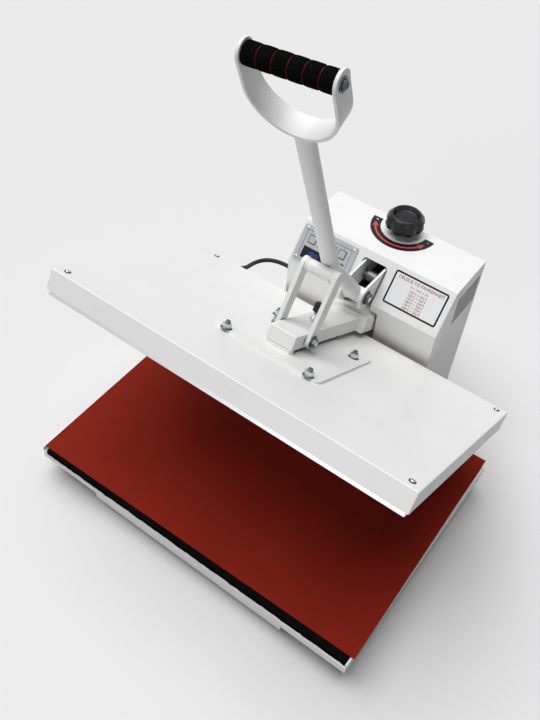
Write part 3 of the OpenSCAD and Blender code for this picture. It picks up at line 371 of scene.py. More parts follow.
def finish(name, tone, shade, rough, mottle, grain, depth, metallic=0.0, cells=0.0, scuff=0.15,
           scuff_tone=None, stretch=(1, 1, 1), coat=0.0, coat_rough=0.1, glow=None, sheen=0.0,
           specular=0.5):
    """Two close tones, uneven gloss, relief with its depth in microns and a few rub marks."""
    FINISHES[name], tree, shader = new_material(f"{name}_finish")
    place = new_node(tree, "TexCoord")
    mapping = new_node(tree, "Mapping", {"Scale": stretch})

    def placed(group, **values):
        node = new_node(tree, "Group", values, node_tree=bpy.data.node_groups[group])
        wired(tree, (mapping, "Vector", node, "Vector"))
        return node

    tint = placed("mottle", Scale=mottle)
    gloss = placed("mottle", Scale=mottle * 2.6, Low=rough[0], High=rough[1])
    relief = placed("grain", Scale=grain, Cells=cells)
    rubbed = placed("scuff", Scale=mottle * 5.0, High=scuff)
    shaded = [c * shade for c in tone]
    tones = new_node(tree, "Mix", {"A": (*tone, 1.0), "B": (*shaded, 1.0)}, data_type="RGBA")
    rubbed_tone = scuff_tone or [c * 0.75 for c in tone]
    worn = new_node(tree, "Mix", {"B": (*rubbed_tone, 1.0)}, data_type="RGBA")
    bump = new_node(tree, "Bump", {"Distance": depth * MICRON})
    wired(
        tree,
        (place, "Object", mapping, "Vector"),
        (tint, "Value", tones, "Factor"),
        (tones, "Result", worn, "A"), (rubbed, "Value", worn, "Factor"),
        (worn, "Result", shader, "Base Color"),
        (gloss, "Value", shader, "Roughness"),
        (relief, "Height", bump, "Height"), (bump, "Normal", shader, "Normal"),
    )
    set_sockets(shader, {
        "Metallic": metallic, "Coat Weight": coat, "Coat Roughness": coat_rough, "Sheen Weight": sheen,
        "Specular IOR Level": specular,
    })
    if glow is not None:
        wired(tree, (worn, "Result", shader, "Emission Color"))
        set_sockets(shader, {"Emission Strength": glow})


def make_finishes(tones):
    """Every finish of the press, named for its slot in the record, its ink or the painted shade it stands
    for.
    """
    cloud_group("mottle", 5.0, 0.62, 0.32, 0.68)
    cloud_group("scuff", 8.0, 0.75, 0.60, 0.74)
    grain_group()
    dull_and_shade_tone = [c * 0.25 for c in tones.zinc]
    finish("white_paint", tones.paint, 0.965, (0.34, 0.46), 9, 950, 35, scuff=0.10,
           scuff_tone=(0.70, 0.70, 0.69), coat=0.12, coat_rough=0.25)
    finish("zinc", tones.zinc, 0.78, (0.22, 0.42), 70, 1400, 30, 1.0, scuff=0.3,
           scuff_tone=(0.50, 0.48, 0.43))
    # Dulled zinc for dark bolt ends and stud tips, also painted shade on the nut deep inside the box
    finish("dull_zinc_and_shade", dull_and_shade_tone, 0.8, (0.40, 0.55), 70, 1400, 30, 1.0)
    finish("dark_steel", tones.steel, 0.65, (0.28, 0.48), 60, 1200, 30, 1.0, scuff=0.35,
           scuff_tone=(0.24, 0.235, 0.23))
    finish("alloy", tones.alloy, 0.92, (0.30, 0.38), 9, 900, 10, 1.0, scuff=0.06,
           scuff_tone=(0.60, 0.59, 0.57), stretch=(0.3, 2.0, 2.0))
    finish("black_plastic", tones.plastic, 1.5, (0.14, 0.24), 30, 1500, 30, scuff=0.12,
           scuff_tone=(0.035, 0.035, 0.035), specular=0.3)
    finish("black_rubber", tones.rubber, 1.7, (0.55, 0.75), 40, 1100, 50, scuff=0.25,
           scuff_tone=(0.035, 0.034, 0.032), specular=0.25)
    finish("foam", tones.foam, 2.4, (0.86, 0.98), 300, 560, 1000, cells=0.8, scuff=0.8,
           scuff_tone=(0.03, 0.03, 0.029), specular=0.0)
    finish("silicone", tones.mat, 0.86, (0.46, 0.60), 7, 1300, 50, scuff=0.12,
           scuff_tone=(0.27, 0.030, 0.018), specular=0.03)
    finish("red_foam", tones.sleeve, 0.8, (0.55, 0.70), 60, 900, 50, specular=0.1)
    finish("grey_plastic", tones.panel, 0.93, (0.36, 0.50), 26, 1800, 40, scuff=0.12)
    finish("window", tones.glass, 1.6, (0.06, 0.12), 24, 200, 4, scuff=0.05, specular=0.3)
    finish("blanket", tones.blanket, 0.85, (0.90, 1.0), 45, 420, 800, cells=0.3, sheen=0.2)
    finish("digit_glow", tones.glow, 0.85, (0.3, 0.4), 90, 900, 10, scuff=0.0, glow=0.2)
    finish("red_ink", tones.ink_red, 0.9, (0.38, 0.5), 40, 1500, 10)
    finish("dark_red_ink", tones.ink_dark_red, 0.9, (0.38, 0.5), 40, 1500, 10)
    finish("black_ink", tones.ink_black, 1.6, (0.34, 0.48), 40, 1500, 10, specular=0.2)
    finish("label_stock", tones.label, 0.97, (0.30, 0.40), 20, 900, 10, scuff=0.06)
    # Painted shade: a near-black stand-in for the white paint deep inside the box, where shade falls
    finish("painted_inner_shade", (0.05, 0.05, 0.052), 0.8, (0.6, 0.75), 20, 900, 40, specular=0.2)
    finish("button_grey", (0.50, 0.49, 0.48), 0.9, (0.45, 0.6), 60, 1500, 40, scuff=0.3)
    finish("plate_grey", (0.16, 0.165, 0.165), 0.8, (0.34, 0.46), 25, 1200, 10)
    finish("weld", tones.paint, 0.94, (0.38, 0.5), 60, 420, 300, scuff=0.2, scuff_tone=(0.66, 0.66, 0.65))


# Helpers that shape pieces in millimetres

def fresh(*points, wire=False):
    """A new bmesh from a few points, joined as one face or one open line."""
    bm = bmesh.new()
    verts = [bm.verts.new(point) for point in points]
    if wire:
        for a, b in zip(verts, verts[1:]):
            bm.edges.new((a, b))
    else:
        bm.faces.new(verts)
    bm.normal_update()
    return bm


def linked(name, data):
    """A new object in the scene."""
    made = bpy.data.objects.new(name, data)
    bpy.context.scene.collection.objects.link(made)
    return made


def mesh_from(bm, name):
    """A new mesh that takes over a bmesh."""
    mesh = bpy.data.meshes.new(name)
    bm.to_mesh(mesh)
    bm.free()
    return mesh


def face_out(bm):
    """Turns every face outward."""
    bmesh.ops.recalc_face_normals(bm, faces=bm.faces)


def scaled(bm, factor):
    """The same bmesh in another unit."""
    bmesh.ops.scale(bm, vec=(factor, factor, factor), verts=bm.verts)
    return bm


def moved(bm, matrix):
    """The same bmesh after a placement."""
    bmesh.ops.transform(bm, matrix=matrix, verts=bm.verts)
    return bm


def marked(bm):
    """The same bmesh with every face in its piece's second finish."""
    for face in bm.faces:
        face.material_index = 1
    return bm


def merged(bm, dist):
    """The same bmesh with points that lie together made one."""
    bmesh.ops.remove_doubles(bm, verts=bm.verts, dist=dist)
    return bm


def soften(bm, geom, offset, segments=3, affect="EDGES"):
    """Rounds chosen edges or corners."""
    bmesh.ops.bevel(
        bm, geom=geom, offset=offset, offset_type="OFFSET", segments=segments, profile=0.5, affect=affect,
        clamp_overlap=True, material=-1,
    )


def of_kind(items, kind):
    """The points, edges or faces among what an operator made."""
    return [item for item in items if isinstance(item, kind)]


def middle_of(edge):
    """The point halfway along an edge."""
    return (edge.verts[0].co + edge.verts[1].co) / 2


def joined(shapes):
    """One bmesh holding several."""
    whole = bmesh.new()
    for shape in shapes:
        mesh = mesh_from(shape, "part")
        whole.from_mesh(mesh)
        bpy.data.meshes.remove(mesh)
    return whole


def settle(shape, name, body, finish_name, node=None, second=None, smooth=38.0, slot=None, weighted=True):
    """Turns a bmesh in millimetres, or a list of them, into a piece that rides on a body."""
    bm = joined(shape) if isinstance(shape, list) else shape
    scaled(bm, MM)
    limit = math.radians(smooth)
    for edge in bm.edges:
        edge.smooth = edge.calc_face_angle(0.0) < limit
    for face in bm.faces:
        face.smooth = True
    mesh = mesh_from(bm, name)
    if "custom_normal" in mesh.attributes:
        mesh.attributes.remove(mesh.attributes["custom_normal"])
    mesh.materials.append(FINISHES[finish_name])
    if second:
        mesh.materials.append(FINISHES[second])
    piece = linked(name, mesh)
    if weighted:
        having(piece.modifiers.new("even_shading", "WEIGHTED_NORMAL"), keep_sharp=True)
    if body:
        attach(piece, body)
    slot or finish_name
    if node:
        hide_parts(node)
    return piece


def swept(bm, angle, steps, whole):
    """Turns everything in a bmesh about Z, open or as a whole turn."""
    bmesh.ops.spin(
        bm, geom=bm.verts[:] + bm.edges[:], cent=(0, 0, 0), axis=(0, 0, 1), angle=angle, steps=steps,
        use_merge=whole,
    )


def turned(profile, matrix=Matrix(), rounding=0.0, steps=40, corners=3):
    """A turned shape about Z from (radius, height) points, its corners rounded."""
    bm = fresh(*[(r, 0.0, z) for r, z in profile], wire=True)
    bm.verts.ensure_lookup_table()
    softened = bm.verts[1:-1]
    if profile[0][0] > 0:
        bm.edges.new((bm.verts[-1], bm.verts[0]))
        softened = bm.verts[:]
    if rounding:
        soften(bm, softened, rounding, corners, "VERTICES")
    swept(bm, TURN, steps, True)
    merged(bm, 1e-4)
    face_out(bm)
    return moved(bm, matrix)


def both_ways(matrix):
    """Placements that look out along X to the left and to the right."""
    return [matrix @ spun(side * TURN / 4, "Y") for side in SIDES]


def disc(r, z0, z1, bore=0.0):
    """Profile of a plain disc or rod, or of a ring with a bore."""
    return [(bore, z0), (r, z0), (r, z1), (bore, z1)]


def rounded_face(w, h, r=0.0, corners=4):
    """A flat face with all or its first corners round, centred, facing +Z."""
    bm = fresh((-w / 2, -h / 2, 0), (w / 2, -h / 2, 0), (w / 2, h / 2, 0), (-w / 2, h / 2, 0))
    if r:
        bm.verts.ensure_lookup_table()
        soften(bm, bm.verts[:corners], r, 5, "VERTICES")
    bm.normal_update()
    return bm


def flat_grid(w, d, columns, rows):
    """A flat sheet cut into a grid, centred."""
    bm = bmesh.new()
    bmesh.ops.create_grid(bm, x_segments=columns, y_segments=rows, size=0.5)
    bmesh.ops.scale(bm, vec=(w, d, 1), verts=bm.verts)
    return bm


def lump(point, scale, seed):
    """A smooth uneven height from nought to one."""
    return 0.5 + 0.5 * noise.noise(Vector((point.x * scale, point.y * scale, seed)))


def lifted(bm, geom, t):
    """Draws faces out along +Z and gives the new points and faces."""
    made = bmesh.ops.extrude_face_region(bm, geom=geom)["geom"]
    tops = of_kind(made, bmesh.types.BMVert)
    bmesh.ops.translate(bm, vec=(0, 0, t), verts=tops)
    return tops, of_kind(made, bmesh.types.BMFace)


def raised(bm, t, edge=0.0):
    """Gives flat faces a thickness along +Z and rounds the upper rim."""
    tops = lifted(bm, bm.faces[:], t)[0]
    face_out(bm)
    if edge:
        chosen = set(tops)
        rim = [e for e in bm.edges if chosen.issuperset(e.verts) and e.calc_face_angle(0.0) > 0.7]
        soften(bm, rim, edge)
    return bm


def plate(w, h, t, r, edge=0.0, matrix=Matrix()):
    """A flat plate with round corners and a soft upper rim."""
    return moved(raised(rounded_face(w, h, r), t, edge), matrix)


def inset(bm, width):
    """Sets a border into a flat face and gives the border's faces."""
    made = bmesh.ops.inset_region(
        bm, faces=bm.faces[:], thickness=width, use_even_offset=True, use_boundary=True
    )
    return made["faces"]


def cad_copy(node):
    """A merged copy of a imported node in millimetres, its flat faces made whole."""
    bm = bmesh.new()
    bm.from_mesh(frame["nodes"][node].data)
    merged(scaled(bm, 1 / MM), 0.002)
    bmesh.ops.dissolve_limit(
        bm, angle_limit=math.radians(0.4), use_dissolve_boundaries=False, verts=bm.verts, edges=bm.edges,
    )
    return bm


def broad(area, angle=20, pick=min, away=()):
    """Chooses outward edges by the area of one of their faces, apart from edges near given points."""
    def chosen(edge):
        return (
            len(edge.link_faces) == 2 and edge.is_convex
            and edge.calc_face_angle(0.0) > math.radians(angle)
            and pick(face.calc_area() for face in edge.link_faces) > area
            and all((middle_of(edge) - Vector(point)).length >= reach for point, reach in away)
        )
    return chosen


def mark_inner_shade(bm, middle):
    """Marks broad faces that look toward a point inside for the second finish, the painted shade of the
    box's inside.
    """
    for face in bm.faces:
        toward = (middle - face.calc_center_median()).dot(face.normal)
        if toward > 5.0 and face.calc_area() > 150.0:
            face.material_index = 1


def rounded(node, width, chosen=broad(2500), segments=3, middle=None):
    """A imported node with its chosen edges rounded, in place of the node."""
    bm = cad_copy(node)
    edges = [edge for edge in bm.edges if chosen(edge)]
    if edges:
        soften(bm, edges, width, segments)
    merged(bm, 0.002)
    # Faces that look into the box get the painted shade finish
    if middle:
        mark_inner_shade(bm, Vector(middle))
    body = frame["nodes"][node]["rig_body"]
    settle(bm, f"{node}_rounded", body, NODE_SLOT[node], node, second="painted_inner_shade" if middle else None)


def shape_of(curve, dist):
    """The evaluated form of a curve or of text as a bmesh."""
    holder = linked(curve.name, curve)
    bpy.context.view_layer.update()
    mesh = bpy.data.meshes.new_from_object(holder.evaluated_get(bpy.context.evaluated_depsgraph_get()))
    bm = bmesh.new()
    bm.from_mesh(mesh)
    bpy.data.objects.remove(holder)
    bpy.data.meshes.remove(mesh)
    return merged(bm, dist)


def lettering(text, size, matrix):
    """Raised figures as a bmesh, centred on the placement."""
    curve = having(
        bpy.data.curves.new("figures", "FONT"), body=text, size=size, extrude=0.03, offset=size * 0.012,
        resolution_u=3, align_x="CENTER", align_y="CENTER",
    )
    bm = shape_of(curve, 0.001)
    bpy.data.curves.remove(curve)
    return moved(bm, matrix)


def cross_screw(matrix, head_r, head_h):
    """A pan head with a cross recess, its seat at zero."""
    head = turned(
        [(0, 0), (head_r, 0), (head_r, head_h * 0.45), (head_r * 0.62, head_h), (0, head_h)],
        rounding=head_h * 0.22, steps=28,
    )
    first = 0.4
    top = shift(0, 0, head_h - 0.02)
    slots = [
        marked(plate(head_r * 1.05, head_r * 0.24, 0.06, 0.0, matrix=top @ spun(angle, "Z")))
        for angle in (first, first + TURN / 4)
    ]
    return moved(joined([head, *slots]), matrix)


def hex_head(across, h, matrix, chamfer=0.6):
    """A hexagon head or nut with chamfered corners, its seat at zero."""
    bm = bmesh.new()
    bmesh.ops.create_circle(bm, cap_ends=True, segments=6, radius=across / 2 / math.cos(math.radians(30)))
    raised(bm, h)
    upper = [e for e in bm.edges if max(v.co.z for v in e.verts) > h / 2]
    soften(bm, upper, chamfer, 2)
    return moved(bm, matrix)


def bolt_end(axis, seat, across, h, chamfer, r, out, rounding):
    """A hexagon head and the bright tip of the bolt that stands out of it."""
    low = seat + h - 0.1
    tip = [(0, low), (r, low), (0.8 * r, low + out), (0, low + out)]
    return [
        hex_head(across, h, axis @ shift(0, 0, seat), chamfer),
        marked(turned(tip, axis, rounding)),
    ]


def threaded(r, z0, z1, pitch, matrix):
    """A stud with thread ridges and a chamfered tip."""
    depth = pitch * 0.42
    profile = [(0, z0), (r - depth, z0)]
    z = z0
    while z + pitch < z1 - pitch * 0.5:
        profile += [(r, z + pitch * 0.5), (r - depth, z + pitch)]
        z += pitch
    profile += [(r - depth * 1.4, z1), (0, z1)]
    return turned(profile, matrix, steps=28)


# Camera, light and floor

def set_camera(scene):
    """The camera that took the photo."""
    camera = having(bpy.data.cameras.new("photo_camera"), lens=CAMERA_LENS, clip_end=50.0)
    scene.camera = linked("photo_camera", camera)
    turn = Matrix((CAMERA_RIGHT, -CAMERA_DOWN, -CAMERA_AHEAD)).transposed().to_4x4()
    scene.camera.matrix_world = shift(*CAMERA_AT) @ turn


def set_world(scene):
    """A pale studio that lights less than it shows."""
    scene.world = bpy.data.worlds.new("studio")
    scene.world.use_nodes = True
    tree = scene.world.node_tree
    sky = tree.nodes["Background"]
    set_sockets(sky, {"Color": (0.97, 0.98, 1.0, 1.0)})
    level = new_node(tree, "MapRange", {"To Min": 0.05, "To Max": 0.85})
    wired(tree, (seen_directly(tree), "Value", level, "Value"), (level, "Result", sky, "Strength"))


def set_lamp(name, energy, spread, toward):
    """A far lamp that shines one way, its spread in degrees."""
    lamp = having(bpy.data.lights.new(name, "SUN"), energy=energy, angle=math.radians(spread))
    linked(name, lamp).matrix_world = Vector(toward).to_track_quat("-Z", "Y").to_matrix().to_4x4()


def set_floor():
    """A wide floor below the press."""
    floor_w = 16.0
    mesh = mesh_from(flat_grid(floor_w, floor_w, 8, 8), "studio_floor")
    mesh.materials.append(pale_floor())
    linked("studio_floor", mesh)


# Table and platen pieces

def foam_slab(ragged):
    """A hand-cut foam slab whose sides wander."""
    w, d, t = FOAM
    clear = 0.4
    layers = 5
    bm = rounded_face(w - clear, d - clear)
    bmesh.ops.subdivide_edges(bm, edges=bm.edges[:], cuts=240, use_grid_fill=False)
    current = bm.faces[:]
    levels = [list(bm.verts)]
    for layer in range(layers):
        rims = dict.fromkeys(edge for face in current for edge in face.edges)
        tops, current = lifted(bm, current + list(rims), t / layers)
        levels.append(tops)
    for layer, verts in enumerate(levels):
        hollow = 0.5 * math.sin(layer / layers * math.pi)
        pinch = 0.5 if layer in (0, layers) else 0.0
        for v in verts:
            spot = Vector((v.co.x * 0.09, v.co.y * 0.09, layer * 0.8))
            wander = 0.5 + 0.6 * noise.fractal(spot, 0.6, 2.3, 4)
            inward = pinch + ragged * max(0.0, min(1.0, wander)) + hollow
            v.co.x -= math.copysign(inward, v.co.x) * (abs(v.co.x) > w / 2 - 1)
            v.co.y -= math.copysign(inward, v.co.y) * (abs(v.co.y) > d / 2 - 1)
            if v.co.y < -d / 2 + 3:
                v.co.y -= FOAM_SKEW * (v.co.x / w + 0.5)
    face_out(bm)
    moved(bm, shift(0, TABLE_Y, TRAY_FLOOR) @ spun(PAD_YAW, "Z"))
    pad = settle(bm, "table_foam", "frame", "foam", "foam_pad", smooth=60.0)


def mat_sheet():
    """A thin mat with faint waves from lying on the foam."""
    w, d, t = MAT
    wave = 0.16
    bm = flat_grid(w, d, 44, 32)
    for v in bm.verts:
        v.co.z = wave * lump(v.co, 0.012, 3.7)
    raised(bm, t - wave - 0.02)
    soften(bm, [e for e in bm.edges if e.calc_face_angle(0.0) > 1.0], 0.3, 2)
    moved(bm, shift(0, TABLE_Y + MAT_BACK, FOAM_TOP) @ spun(PAD_YAW, "Z"))
    sheet = settle(bm, "press_mat", "frame", "silicone", "silicone_mat")


def blanket():
    """The insulation inside the cover, swelling between its fixings."""
    bm = flat_grid(2 * BLANKET_HALF_W, 2 * BLANKET_HALF_D, 30, 24)
    thickness = 9.0
    raised(bm, thickness)
    for v in bm.verts:
        if v.co.z > thickness / 2:
            inside = min(BLANKET_HALF_W - abs(v.co.x), BLANKET_HALF_D - abs(v.co.y))
            v.co.z -= 2.2 * (1.0 - min(1.0, inside / 18.0)) + lump(v.co, 0.03, 1.3)
    moved(bm, OPENED @ shift(0, PLATEN_Y, PLATE_TOP + ELEMENT_H))
    pad = settle(bm, "platen_blanket", "platen", "blanket", "insulation_blanket", smooth=60.0)


# Lever and handle pieces

def drawn(bm, ring, way, span, cuts):
    """Draws an open ring of edges along a straight line and gives the last ring."""
    for step in range(cuts):
        made = bmesh.ops.extrude_edge_only(bm, edges=ring)
        verts = of_kind(made["geom"], bmesh.types.BMVert)
        edges = of_kind(made["geom"], bmesh.types.BMEdge)
        ring = [e for e in edges if e.verts[0] in verts and e.verts[1] in verts]
        bmesh.ops.translate(bm, vec=way * span / cuts, verts=verts)
    return ring


def lever():
    """One bent tube, pinched lengthwise below its bend, with its pivot boss."""
    low = shift(*EAR) @ spun(LEVER_LOW_A - TURN / 4, "X")
    begin = 6.0
    bend_r = 45.0
    sweep = LEVER_LOW_A - LEVER_UP_A
    tangent = bend_r * math.tan(sweep / 2)
    bm = bmesh.new()
    bmesh.ops.create_circle(bm, cap_ends=False, segments=56, radius=LEVER_R)
    moved(bm, low @ shift(0, 0, begin))
    low_way = low.to_3x3() @ Vector((0, 0, 1))
    up_way = LEVER_UP.to_3x3() @ Vector((0, 0, 1))
    ring = drawn(bm, bm.edges[:], low_way, LEVER_LOW_L - tangent - begin, 44)
    start = EAR + low_way * (LEVER_LOW_L - tangent)
    centre = start + aimed(LEVER_LOW_A - TURN / 4) * bend_r
    made = bmesh.ops.spin(
        bm, geom=ring, cent=centre, axis=(1, 0, 0), dvec=(0, 0, 0), angle=-sweep, steps=6, use_merge=False
    )
    last = of_kind(made["geom_last"], bmesh.types.BMEdge)
    drawn(bm, last, up_way, LEVER_UP_L - tangent + 1.2, 6)
    merged(bm, 1e-3)
    bmesh.ops.holes_fill(bm, edges=[e for e in bm.edges if e.is_boundary], sides=0)
    face_out(bm)
    pinch_low = 18
    pinch_high = LEVER_LOW_L - 10
    pinch_y = 2.5
    pinch_w = 3.6
    pinch_depth = 3.4
    to_low = low.inverted()
    for v in bm.verts:
        spot = to_low @ v.co
        if pinch_low < spot.z < pinch_high and spot.x > 0:
            fade = min(1.0, (spot.z - pinch_low) / 22.0, (pinch_high - spot.z) / 40.0)
            fade = fade * fade * (3 - 2 * fade)
            spot.x -= pinch_depth * fade * math.exp(-((spot.y - pinch_y) / pinch_w) ** 2)
            v.co = low @ spot
    boss = turned(disc(13, -16.7, 16.7, 6.05), shift(*EAR) @ ALONG_X, 0.8, 48)
    dimple = turned(
        [(0, -0.4), (2.1, -0.4), (3.4, 0.5), (4.6, 0.9), (5.6, 0.2), (6.0, -0.6), (0, -0.8)],
        LEVER_UP @ shift(0, -LEVER_R + 0.3, 4) @ spun(TURN / 4, "X"), 0.3, 24,
    )
    weld = LEVER_UP @ shift(0, 0, LEVER_UP_L - 1.0)
    bead = turned([(12.2, -2.4), (14.6, -1.0), (14.2, 0.6), (12.2, 2.2)], weld, 0.7, 48)
    settle([bm, boss], "lever_tube_bent", "lever", "white_paint", "lever_tube")
    settle([bead, dimple], "lever_welds", "lever", "weld", slot="white_paint", weighted=False)


def crossbar():
    """The tube that joins the lever to the links, with a groove near each end."""
    across = BEND + CROSSBAR_ALONG * aimed(LEVER_UP_A)
    across += CROSSBAR_OUT * aimed(LEVER_UP_A + TURN / 4)
    half = CROSSBAR_HALF
    r = CROSSBAR_R
    groove_r = 8.6
    grooved = [(r, 3.0), (groove_r, 3.2), (groove_r, 4.2), (r, 4.4)]
    profile = [(0, -half), (r, -half)]
    profile += [(x, z - half) for x, z in grooved]
    profile += [(x, half - z) for x, z in reversed(grooved)]
    profile += [(r, half), (0, half)]
    bar = turned(profile, shift(*across) @ ALONG_X, 0.3, 48)
    settle(bar, "crossbar_tube", "lever", "white_paint", "crossbar")


def grip():
    """Foam rings with red gaps on their sleeve, and the bolt heads."""
    grip_l = 2 * (STRAP_HALF - STRAP_T) - 0.1
    count = 6
    gap = 1.4
    ring_l = (grip_l - (count - 1) * gap) / count
    rings = []
    for i in range(count):
        z = -grip_l / 2 + i * (ring_l + gap)
        rings.append(turned(
            [(11.9, z), (12.4, z), (13.25, z + 1.2), (13.5, z + ring_l * 0.3), (13.5, z + ring_l * 0.7),
             (13.25, z + ring_l - 1.2), (12.4, z + ring_l), (11.9, z + ring_l)],
            HANDLE @ ALONG_X, 0.5, 44,
        ))
    soft = settle(rings, "grip_foam", "lever", "foam", "grip_rings_foam", smooth=60.0)
    seat = STRAP_HALF + 1.5
    dome = [(0, 0), (6.4, 0), (6.4, 1.9), (3.6, 3.8), (3.2, 4.0), (2.6, 2.7), (0, 2.7)]
    parts = [turned(disc(4, -STRAP_HALF, STRAP_HALF), HANDLE @ ALONG_X)]
    for out in both_ways(HANDLE):
        parts.append(turned(disc(8.8, STRAP_HALF, seat), out, 0.4))
        parts.append(turned([(r, seat + z) for r, z in dome], out, 0.4))
    settle(parts, "grip_bolt_domed", "lever", "dark_steel", "grip_bolt")


# Pieces on the control box

def printed(shape, name, finish_name, slot):
    """A thin print on the box."""
    settle(shape, name, "frame", finish_name, slot=slot, weighted=False)


def gland(node, matrix, thread, body):
    """A ribbed cap and a tapered nose round the lead."""
    nose = [
        (6.5, 10.6), (6.5, 12.2), (6.7, 12.4), (6.4, 14), (6.0, 14.2), (6.0, 15.8), (6.1, 16),
        (5.6, GLAND_L), (4.0, GLAND_L),
    ]
    base = [(3.0, -thread), (6.0, -thread), (6.0, 0), (8.5, 0), (8.5, 9), (7.0, 9), (7.0, 10.4)]
    cap = turned(base + nose, matrix, 0.4, 36)
    count = 12
    seat = shift(0, 8.2, 4.5) @ REARWARD
    ribs = [
        plate(1.0, 7.0, 0.5, 0.3, 0.2, matrix @ spun(TURN * k / count, "Z") @ seat) for k in range(count)
    ]
    settle([cap, *ribs], f"{node}_ribbed", body, "black_plastic", node)


def bezel_rim(edge):
    """Chooses the bezel's outer upper edges, apart from its screw holes."""
    middle = FACE.inverted() @ middle_of(edge)
    far = abs(middle.x) > 46 or abs(middle.y) > 30
    by_screw = abs(abs(middle.x) - FACE_SCREW_X) < 3 and abs(abs(middle.y) - FACE_SCREW_Y) < 3
    upper = middle.z > FACE_T - 0.5
    return far and upper and edge.calc_face_angle(0.0) > 0.9 and edge.is_convex and not by_screw


def outline(w, h, r, width, x, y):
    """A thin printed frame on the bezel."""
    bm = rounded_face(w, h, r)
    ring = set(inset(bm, width))
    bmesh.ops.delete(bm, geom=[f for f in bm.faces if f not in ring], context="FACES")
    return moved(raised(bm, PRINT_T), FACE @ shift(x, y, FACE_T))


def frame_line():
    """The printed line round the keys and display, and a mark above each key."""
    parts = [outline(89, 53, 3, 0.7, 0, -1.5)]
    for i in range(4):
        x = (i - 1.5) * KEY_PITCH
        parts.append(outline(15.0, 15.0, 1.2, 0.9, x, KEY_Y))
        mark = bmesh.new()
        bmesh.ops.create_circle(mark, cap_ends=True, segments=3, radius=1.3)
        raised(mark, PRINT_T)
        half_turn = TURN / 2 if i % 2 else 0.0
        parts.append(moved(mark, FACE @ shift(x, 21.2, FACE_T) @ spun(half_turn, "Z")))
    printed(parts, "controller_print", "black_ink", "black_plastic")


def digits():
    """Seven-segment figures, 180 on the left and 015 on the right."""
    lit = {"0": "abcdef", "1": "bc", "5": "acdfg", "8": "abcdefg"}
    w, h = 3.6, 4.2
    edge = w / 2 + 0.3
    places = {
        "a": (0, h, 0), "d": (0, -h, 0), "g": (0, 0, 0),
        "b": (edge, h / 2, 1), "c": (edge, -h / 2, 1), "e": (-edge, -h / 2, 1), "f": (-edge, h / 2, 1),
    }
    pitch = 7.6
    row_y = -13.5
    parts = []
    for text, x0 in (("180", -27.0), ("015", 11.0)):
        for k, figure in enumerate(text):
            for segment in lit[figure]:
                x, y, upright = places[segment]
                spot = shift(x0 + k * pitch + x, row_y + y, FACE_T) @ spun(upright * TURN / 4, "Z")
                parts.append(plate(3.1, 0.8, 0.05, 0.38, matrix=FACE @ spot))
    printed(parts, "display_digits", "digit_glow", "window")


def chart(border):
    """White sticker with a black line and rows of matching temperatures."""
    place = SLOPE @ shift(*CHART_AT, 0)
    bm = rounded_face(*CHART)
    for face in inset(bm, border):
        face.material_index = 1
    raised(bm, 0.18)
    moved(bm, place)
    settle(bm, "chart_sticker", "frame", "label_stock", second="black_ink", slot="white_paint")
    lift = 0.2
    figure_h = 5.4
    rows = [
        lettering("CELSIUS TO FAHRENHEIT", 7.4, place @ shift(1, 20.5, lift)),
        lettering("F = 1.8 C + 32", figure_h, place @ shift(1, 12.0, lift)),
    ]
    for k, c in enumerate((150, 160, 170, 180, 190, 200)):
        text = f"{c}°C = {c * 9 // 5 + 32}°F"
        rows.append(lettering(text, figure_h, place @ shift(2, 5.0 - 5.6 * k, lift)))
    printed(rows, "chart_figures", "dark_red_ink", "red_foam")


def band(r0, r1, start, end, height):
    """A flat arc between two angles in degrees."""
    bm = fresh((r0, 0, 0), (r1, 0, 0), wire=True)
    moved(bm, spun(math.radians(start), "Z"))
    swept(bm, math.radians(end - start), 40, False)
    return raised(bm, height)


def turning_arrow():
    """Black band round the knob with a red double arrow and its signs."""
    centre = shift(*ARROW_AT, BOX_TOP)
    band_t = 0.2
    first, last = -150, -33
    backing = moved(band(41, 58.5, -178, -2, band_t), centre)
    printed(backing, "turning_band", "black_ink", "black_plastic")
    lift = centre @ shift(0, 0, band_t)
    parts = [moved(band(48.2, 51.6, first, last, PRINT_T), lift)]
    for angle, way in ((first, -1), (last, 1)):
        head = raised(fresh((44.4, 0, 0), (55.4, 0, 0), (49.2, way * 12.5, 0)), PRINT_T)
        parts.append(moved(head, lift @ spun(math.radians(angle), "Z")))
    printed(parts, "turning_arrow", "red_ink", "red_foam")
    signs = []
    for text, angle in (("+", -170.5), ("-", -9.5)):
        spot = lift @ spun(math.radians(angle), "Z") @ shift(49.8, 0, 0.02) @ spun(TURN / 4, "Z")
        signs.append(lettering(text, 9.0, spot))
    printed(signs, "turning_signs", "label_stock", "white_paint")


# Operators, one for each group of pieces

class PressStep:
    """What the operators share: each builds its pieces from the sizes in the panel"""

    def execute(self, context):
        self.build(context.scene.press_sizes)
        return {"FINISHED"}


class PRESS_OT_stage(PressStep, bpy.types.Operator):
    """Set the camera, soft light, pale floor and finishes"""

    bl_idname = "press.stage"
    bl_label = "Stage"

    def build(self, sizes):
        scene = bpy.context.scene
        scene.view_settings.view_transform = "Standard"
        make_finishes(scene.press_colours)
        set_camera(scene)
        set_world(scene)
        set_lamp("key", 3.25, 62.0, (0.26, -0.04, -0.96))
        set_lamp("fill", 0.7, 40.0, (0.0, 0.98, -0.16))
        set_floor()


